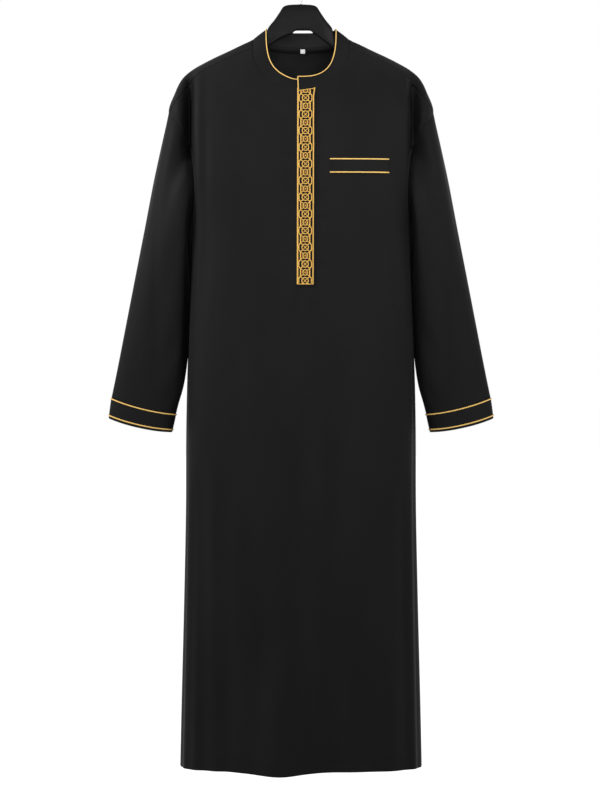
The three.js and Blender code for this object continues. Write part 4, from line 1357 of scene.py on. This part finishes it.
def flat_on_front(name, size, top_of, base, height, columns=14, pitch=4.0, edge=1.2):
    """A flat, doubled piece of cloth on the front, with softly rounded edges."""
    left, right, bottom = size["left"], size["right"], size["bottom"]
    inner = np.linspace(left + edge, right - edge, columns)
    xs = np.concatenate([left + EDGE_PLACES * edge, inner, right - EDGE_PLACES[::-1] * edge])
    rise = np.concatenate([EDGE_RISE, np.ones(columns), EDGE_RISE[::-1]])
    tops = np.array([top_of(x) for x in xs])
    tall = tops.mean() - bottom
    near = EDGE_PLACES * edge / tall
    steps = np.linspace(0, 1, int(tall / pitch) + 1)[1:-1]
    shares = np.concatenate([near, [edge / tall], steps, [1 - edge / tall], 1 - near[::-1][[0, 2]]])
    rise_up = np.concatenate([EDGE_RISE, np.ones(len(steps) + 2), EDGE_RISE[:0:-1]])
    z = bottom + (tops[None, :] - bottom) * shares[:, None]
    x = np.broadcast_to(xs, z.shape)
    outer = on_front(x, z, base + height * np.minimum(rise[None, :], rise_up[:, None]))
    inner_points = on_front(x, z, np.full(z.shape, base - 0.5))
    return shell(name, outer, np.stack([x, z, np.zeros_like(x)], -1), 1.0, TRIM, False, inner_points - outer)


PLACKET_BASE = 0.2
PLACKET_HEIGHT = 1.7
placket = flat_on_front("placket_cloth", PLACKET, lambda x: float(neck_seam_z(x)) - 1.0,
                        PLACKET_BASE, PLACKET_HEIGHT)
keep(placket, "trim_cloth", "placket")

BAND_LIFT = PLACKET_BASE + PLACKET_HEIGHT
REPEAT = 30.6
BAND_MIDDLE = 8.3
BAND_LEAN = 0.0031  # how far the band runs to the wearer's right for each millimetre down
THREAD_PITCH = 0.62
SATIN_ACROSS = np.array([-1.0, -0.32, 0.32, 1.0])  # over a row of satin stitch, in half widths
SATIN_CROWN = np.array([0.0, 0.82, 0.82, 0.0])
SATIN_DIP = 0.62  # height between two threads
ROW_LIFT = 0.04  # crossing rows lie a hair over each other
ROW_ROOT = 0.25  # how deep a row reaches into the placket


def satin_row(path, width, closed, height):
    """A row of satin stitches along a path: ridges across it, one for each thread."""
    line = spaced(np.asarray(path, float), THREAD_PITCH / 2, closed)
    tangent = np.roll(line, -1, axis=0) - np.roll(line, 1, axis=0) if closed else np.gradient(line, axis=0)
    tangent = unit(tangent)
    side = np.stack([-tangent[:, 1], tangent[:, 0]], -1)
    on_ridge = np.arange(len(line)) % 2 == 0
    flat = line[:, None, :] + side[:, None, :] * SATIN_ACROSS[None, :, None] * width / 2
    lift = height * SATIN_CROWN[None, :] * np.where(on_ridge, 1.0, SATIN_DIP)[:, None]
    # shade is painted light: paler on the crown and on each thread's ridge, darker at the edges and on low
    # rows
    shade = (SATIN_CROWN[None, :] * 0.80 + 0.02 + 0.3 * on_ridge[:, None]) * min(1, height / 0.6)
    return flat, lift, shade


def circle(x, z, radius):
    angle = np.radians(np.linspace(0, 360, 64, endpoint=False))
    return np.stack([x + radius * np.cos(angle), z + radius * np.sin(angle)], -1)


def oval(x, z, across, up):
    return (circle(0, 0, 1) * [across, up]) + [x, z]


def segment(x0, z0, x1, z1):
    return np.array([[x0, z0], [x1, z1]], float)


def motif_rows(z):
    """One repeat of the band: a framed ring with a saltire, and a close block with a ring above it."""
    x = BAND_MIDDLE
    upper = z + REPEAT / 2
    frame = [(-11.6, 4.6), (-8.4, 8.0), (-8.4, 22.6), (-11.6, 26.0)]
    rows = [
        (segment(x, upper - 3.6, x, upper + 3.6), 15.0, False, 0.07),
        (circle(x, z, 5.9), 2.2, True, 0.75),
        (segment(x - 3.0, z - 3.0, x + 3.0, z + 3.0), 1.5, False, 0.6),
        (segment(x - 3.0, z + 3.0, x + 3.0, z - 3.0), 1.5, False, 0.66),
        (oval(x, upper, 3.9, 5.4), 1.9, True, 0.75),
        (segment(x - 1.3, upper, x + 1.3, upper), 2.2, False, 0.66),
    ]
    for side in (-1, 1):
        rows.append((segment(x + side * 11.6, z - 4.6, x + side * 11.6, z + 4.6), 2.1, False, 0.7))
        rows.append((np.array([[x - side * dx, z + dz] for dx, dz in frame]), 2.5, False, 0.8))
        for up in (-1, 1):
            arm = segment(x + side * 4.7, z + up * 4.7, x + side * 7.8, z + up * 7.4)
            rows.append((arm, 2.1, False, 0.7))
            corner = segment(x + side * 3.4, upper + up * 4.0, x + side * 7.9, upper + up * 6.4)
            rows.append((corner, 1.7, False, 0.7))
    return rows


FIRST_MOTIF = -582.8
BAND_TOP_SLANT = 3.6
BAND_LEAN_FROM = -260
MOTIFS = 12


def band_top_z(x):
    slant = BAND_TOP_SLANT * (BAND["right"] - x) / (BAND["right"] - BAND["left"])
    return float(neck_seam_z(x)) - 2.6 - slant


def clipped(path, closed):
    """Parts of a path that stay inside the band's top and bottom."""
    line = spaced(path, 0.3, closed)
    if closed:
        line = np.concatenate([line, line[:1]])
    tops = np.array([band_top_z(x) for x in line[:, 0]])
    inside = (line[:, 1] > BAND["bottom"]) & (line[:, 1] < tops - 1.0)
    if inside.all():
        return [(path, closed)]
    parts = []
    start = None
    for i, within in enumerate(list(inside) + [False]):
        if within and start is None:
            start = i
        if not within and start is not None:
            if i - start > 6:
                parts.append((line[start:i], False))
            start = None
    return parts


def band_rows():
    left, right = BAND["left"] + 1.5, BAND["right"] - 1.4
    bottom = BAND["bottom"] + 0.8
    top_left, top_right = band_top_z(left) - 0.4, band_top_z(right) - 0.4
    corner = [right + 2.2, top_right + 1.5]
    rows = [
        (segment(left, bottom, left, float(neck_seam_z(left)) - 0.6), 3.3, False, 0.8),
        (np.array([[right, bottom], [right, top_right - 15], corner]), 2.6, False, 0.8),
        (segment(BAND["left"] + 0.6, bottom, BAND["right"] - 0.6, bottom), 1.6, False, 0.75),
        (segment(left + 1.5, top_left, right + 1.2, top_right), 1.7, False, 0.75),
    ]
    for k in range(MOTIFS):
        for path, width, closed, height in motif_rows(FIRST_MOTIF + k * REPEAT):
            rows += [(part, width, joins, height) for part, joins in clipped(path, closed)]
    return rows


def make_embroidery():
    vertices, marks, faces = [], [], []
    for level, (path, width, closed, height) in enumerate(band_rows()):
        flat, lift, shade = satin_row(path, width, closed, height)
        x, z = flat[..., 0] + BAND_LEAN * (flat[..., 1] - BAND_LEAN_FROM), flat[..., 1]
        outer = on_front(x, z, BAND_LIFT + lift + ROW_LIFT * (level % 5))
        inner = on_front(x, z, np.full(lift.shape, BAND_LIFT - ROW_ROOT))
        faces += sheet_faces(*lift.shape, False, closed, sum(len(block) for block in vertices))
        vertices += [outer.reshape(-1, 3), inner.reshape(-1, 3)]
        marks += [np.stack([x, z, shade], -1).reshape(-1, 3)] * 2
    return mesh_object("embroidery_stitches", np.concatenate(vertices), faces, np.concatenate(marks), GOLD)


keep(make_embroidery(), "gold_thread", "embroidery")

# Chest pocket

WELT_BASE = 0.2
WELT_HEIGHT = 1.2
WELT_LIFT = WELT_BASE + WELT_HEIGHT
welt = flat_on_front("pocket_welt_cloth", WELT, lambda x: WELT["top"], WELT_BASE, WELT_HEIGHT, 30, 3.0, 1.0)
keep(welt, "trim_cloth", "pocket_welt")


def make_pocket_piping(end, z):
    x = np.linspace(WELT["left"] + 0.4, WELT["right"] - 0.4, 90)
    line = cord(f"pocket_gold_{end}", *front_path(x, z, WELT_LIFT + 0.5), PIPING_RADIUS, PIPING)
    keep(line, "gold_thread", f"pocket_piping_{end}")


make_pocket_piping("top", WELT["top"] - PIPING_RADIUS)
make_pocket_piping("bottom", WELT["bottom"] + PIPING_RADIUS)

# Size tab inside the back neck

LABEL_STEPS = 9
LABEL_INSIDE = 3.6
LABEL_CURL = 0.5


def make_label():
    xs = np.linspace(LABEL["left"], LABEL["right"], LABEL_STEPS)
    zs = np.linspace(LABEL["bottom"], LABEL["top"], LABEL_STEPS)
    x, z = np.meshgrid(xs, zs)
    b = np.array([[math.copysign(share_at_x("back", height, abs(x)), x) for x in xs] for height in zs])
    normals = trunk_normals(b, z)
    curl = LABEL_CURL * np.cos(np.linspace(0, math.pi, LABEL_STEPS))[:, None, None]
    outer = trunk(b, z) - normals * (LABEL_INSIDE + curl)
    return shell("size_label_tape", outer, np.stack([x, z, np.zeros_like(x)], -1), 0.5, TAPE, False, -normals)


keep(make_label(), "label", "size_label")

# Hanger and hook

HANGER_NECK = {"shift": -2.0, "from": 96, "over": 36}  # the neck stands a little to one side
HANGER_ARCH = {"shift": 5.5, "from": 46, "over": 26}  # and the arch under it to the other
HANGER_STEPS = [(0, 66, 44), (66, 190, 51), (190, 206, 15)]  # from, to and count, out along an arm
HANGER_SIDES = 36
ARM_UNDER_CLOTH = (98, 195)
EDGE_FLATNESS = {"top": 0.45, "neck": 0.15, "arm": 0.6, "from": 60, "over": 40}


def crest_height(x):
    low, high = float(ARMHOLE_TOP), float(NECK_SIDE + 20)
    for _ in range(40):
        z = (low + high) / 2
        low, high = (z, high) if half_width_at(z) > x else (low, z)
    return low


def hanger_table():
    """The hanger's rows, with the arm's missing tops set just under the shoulder's crest."""
    tops = HANGER["top"].copy()
    free = np.isnan(tops)
    tops[free] = [crest_height(x) - HANGER_UNDER_CREST for x in HANGER["x"][free]]
    return {**HANGER, "top": tops}


def fading(effect, x):
    """The shift of a part of the hanger, which fades out along the arms."""
    return effect["shift"] * smooth((effect["from"] - np.abs(x)) / effect["over"])


def hanger_section(x, top, bottom, half):
    angle = np.linspace(0, 2 * math.pi, HANGER_SIDES, endpoint=False)
    sin, cos = np.sin(angle), np.cos(angle)
    low = mix(EDGE_FLATNESS["neck"], EDGE_FLATNESS["arm"],
              float(smooth((abs(x) - EDGE_FLATNESS["from"]) / EDGE_FLATNESS["over"])))
    z = mix(bottom, top, (np.sign(cos) * np.abs(cos) ** 0.8 + 1) / 2)
    free = np.full(HANGER_SIDES, float(half))
    if ARM_UNDER_CLOTH[0] < abs(x) < ARM_UNDER_CLOTH[1]:
        room = front_depth(x, z) - CLOTH_THICKNESS - HANGER_CLEAR
        free = np.maximum(0.6, np.minimum(free, room))
    y = np.sign(sin) * free * np.abs(sin) ** np.where(cos > 0, EDGE_FLATNESS["top"], low)
    return np.stack([np.full(HANGER_SIDES, x + fading(HANGER_NECK, x)), y, z], -1)


def make_hanger():
    rows = hanger_table()
    spans = [np.linspace(*span, endpoint=False) for span in HANGER_STEPS]
    arm = np.concatenate(spans + [HANGER["x"][-1:]])
    xs = np.concatenate([-arm[:0:-1], arm])
    tops = read_column(rows, "top", np.abs(xs), "x")
    bottoms = read_column(rows, "bottom", np.abs(xs - fading(HANGER_ARCH, xs)), "x")
    halves = read_column(rows, "half", np.abs(xs), "x")
    sections = np.stack([hanger_section(*row) for row in zip(xs, tops, bottoms, halves)])
    return sweep("hanger_body", sections.mean(axis=1), sections, sections, PLASTIC)


keep(make_hanger(), "hanger_plastic", "hanger")

HOOK_ARC = (185, -50)
HOOK_BEND = [(-9.0, 0, -7.5), (0.0, 0, -47.0), (0.0, 0, -52.0)]  # from the arc's end to the stem


def make_hook():
    radius = HOOK_RADIUS + HOOK_WIRE / 2
    angle = np.radians(np.linspace(*HOOK_ARC, 70))
    arc = np.stack([radius * np.cos(angle), 0 * angle, HOOK_WIRE / 2 - radius + radius * np.sin(angle)], -1)
    t = np.linspace(0, 1, 26)[1:, None]
    leave, arrive, foot = np.array(HOOK_BEND)
    bend = (1 - t) ** 3 * arc[-1] + 3 * (1 - t) ** 2 * t * (arc[-1] + leave)
    bend = bend + 3 * (1 - t) * t**2 * arrive + t**3 * foot
    stem = np.linspace(foot - [0, 0, 2], [0, 0, HOOK_FOOT], 6)
    points = spaced(np.concatenate([arc, bend, stem]), 1.2)
    normals = np.broadcast_to(np.array([0.0, -1.0, 0.0]), points.shape)
    return cord("hook_wire", points, normals, HOOK_WIRE / 2, STEEL, flat=1.0, sides=20)


keep(make_hook(), "hook_steel", "hook")

# Sewing

HEM_LINE = 20
STITCH_LIFT = 0.02  # over a doubled piece
TRUNK_STITCH_LIFT = 0.05


def trunk_path(b, z):
    normals = trunk_normals(b, z)
    return trunk(b, z) + normals * TRUNK_STITCH_LIFT, normals


def shoulder_paths():
    """Topstitching on the back panel, beside the shoulder seam."""
    b, z = np.array([shoulder_seam_at(t) for t in np.linspace(0.03, 0.97, 60)]).T
    return [trunk_path(sign * (b - 0.012), z + 1.2) for sign in (1, -1)]


def cuff_line(sign):
    return [np.concatenate([row, row[:1]]) for row in cuff_path(0.11, 0.62, sign)]


placket_heights = np.linspace(PLACKET["bottom"] + 1.6, NECK_FRONT - 6, 90)
welt_heights = np.linspace(WELT["bottom"] + 5, WELT["top"] - 5, 12)
sewing = {
    "hem_stitches": [trunk_path(b[0], z[0] + HEM_LINE) for b, z in (front_places(), back_places())],
    "placket_stitches": [front_path(PLACKET["right"] - 0.7, placket_heights, BAND_LIFT + STITCH_LIFT)],
    "welt_stitches": [front_path(x, welt_heights, WELT_LIFT + STITCH_LIFT)
                      for x in (WELT["left"] + 1.4, WELT["right"] - 1.4)],
    "shoulder_stitches": shoulder_paths(),
    "collar_stitches": [((mix(collar_foot, collar_top, 0.045) + collar_out * 0.12)[4:-8], collar_out[4:-8])],
    "cuff_stitches": [cuff_line(sign) for sign in (1, -1)],
}
for name, paths in sewing.items():
    keep(stitches(name, paths, THREAD), "cloth")

# Camera, floor and light

CAMERA_DISTANCE = 4.2
SENSOR_WIDTH = 36
CAMERA_HEIGHT = -0.801
CAMERA_X = -0.002
MM_PER_IMAGE_HEIGHT = 1496.0
FLOOR_HEIGHT = -1.64


def make_camera():
    data = bpy.data.cameras.new("camera")
    data.sensor_width = SENSOR_WIDTH
    data.lens = SENSOR_WIDTH * CAMERA_DISTANCE * 1000 / MM_PER_IMAGE_HEIGHT
    data.clip_end = 50
    camera = bpy.data.objects.new("camera", data)
    camera.location = (CAMERA_X, -CAMERA_DISTANCE, CAMERA_HEIGHT)
    camera.rotation_euler = (math.radians(90), 0, 0)
    bpy.context.scene.collection.objects.link(camera)
    bpy.context.scene.camera = camera


def make_floor():
    size = 30
    mesh = bpy.data.meshes.new("floor")
    corners = [(-size, -size, FLOOR_HEIGHT), (size, -size, FLOOR_HEIGHT),
               (size, size, FLOOR_HEIGHT), (-size, size, FLOOR_HEIGHT)]
    mesh.from_pydata(corners, [], [(0, 1, 2, 3)])
    floor = bpy.data.objects.new("floor", mesh)
    bpy.context.scene.collection.objects.link(floor)
    mesh.materials.append(floor_material())


def area_light(name, location, target, size, power, spread):
    data = bpy.data.lights.new(name, "AREA")
    data.shape = "RECTANGLE"
    data.size, data.size_y = size
    data.energy = power
    data.spread = math.radians(spread)
    light = bpy.data.objects.new(name, data)
    light.location = location
    light.rotation_euler = (Vector(target) - Vector(location)).to_track_quat("-Z", "Y").to_euler()
    bpy.context.scene.collection.objects.link(light)


ROOM_LIGHT = 1.0


def make_light():
    world = bpy.data.worlds.new("soft_white")
    world.use_nodes = True
    background = world.node_tree.nodes["Background"]
    background.inputs["Color"].default_value = (1, 1, 1, 1)
    background.inputs["Strength"].default_value = ROOM_LIGHT
    bpy.context.scene.world = world
    area_light("key_left", (-0.95, -2.5, 0.1), (-0.14, 0, -0.10), (1.0, 1.0), 1.35, 48)
    area_light("key_right", (0.8, -2.5, 0.1), (0.24, 0, -0.14), (1.0, 1.0), 2.35, 48)
    area_light("side_left", (-2.3, -0.75, 0.7), (-0.26, 0, -0.30), (0.5, 1.0), 9.5, 60)
    area_light("side_right", (1.9, -2.0, 0.0), (0.27, 0, -0.52), (0.5, 1.0), 1.6, 40)
    bpy.context.scene.view_settings.view_transform = "Standard"


make_camera()
make_floor()
make_light()
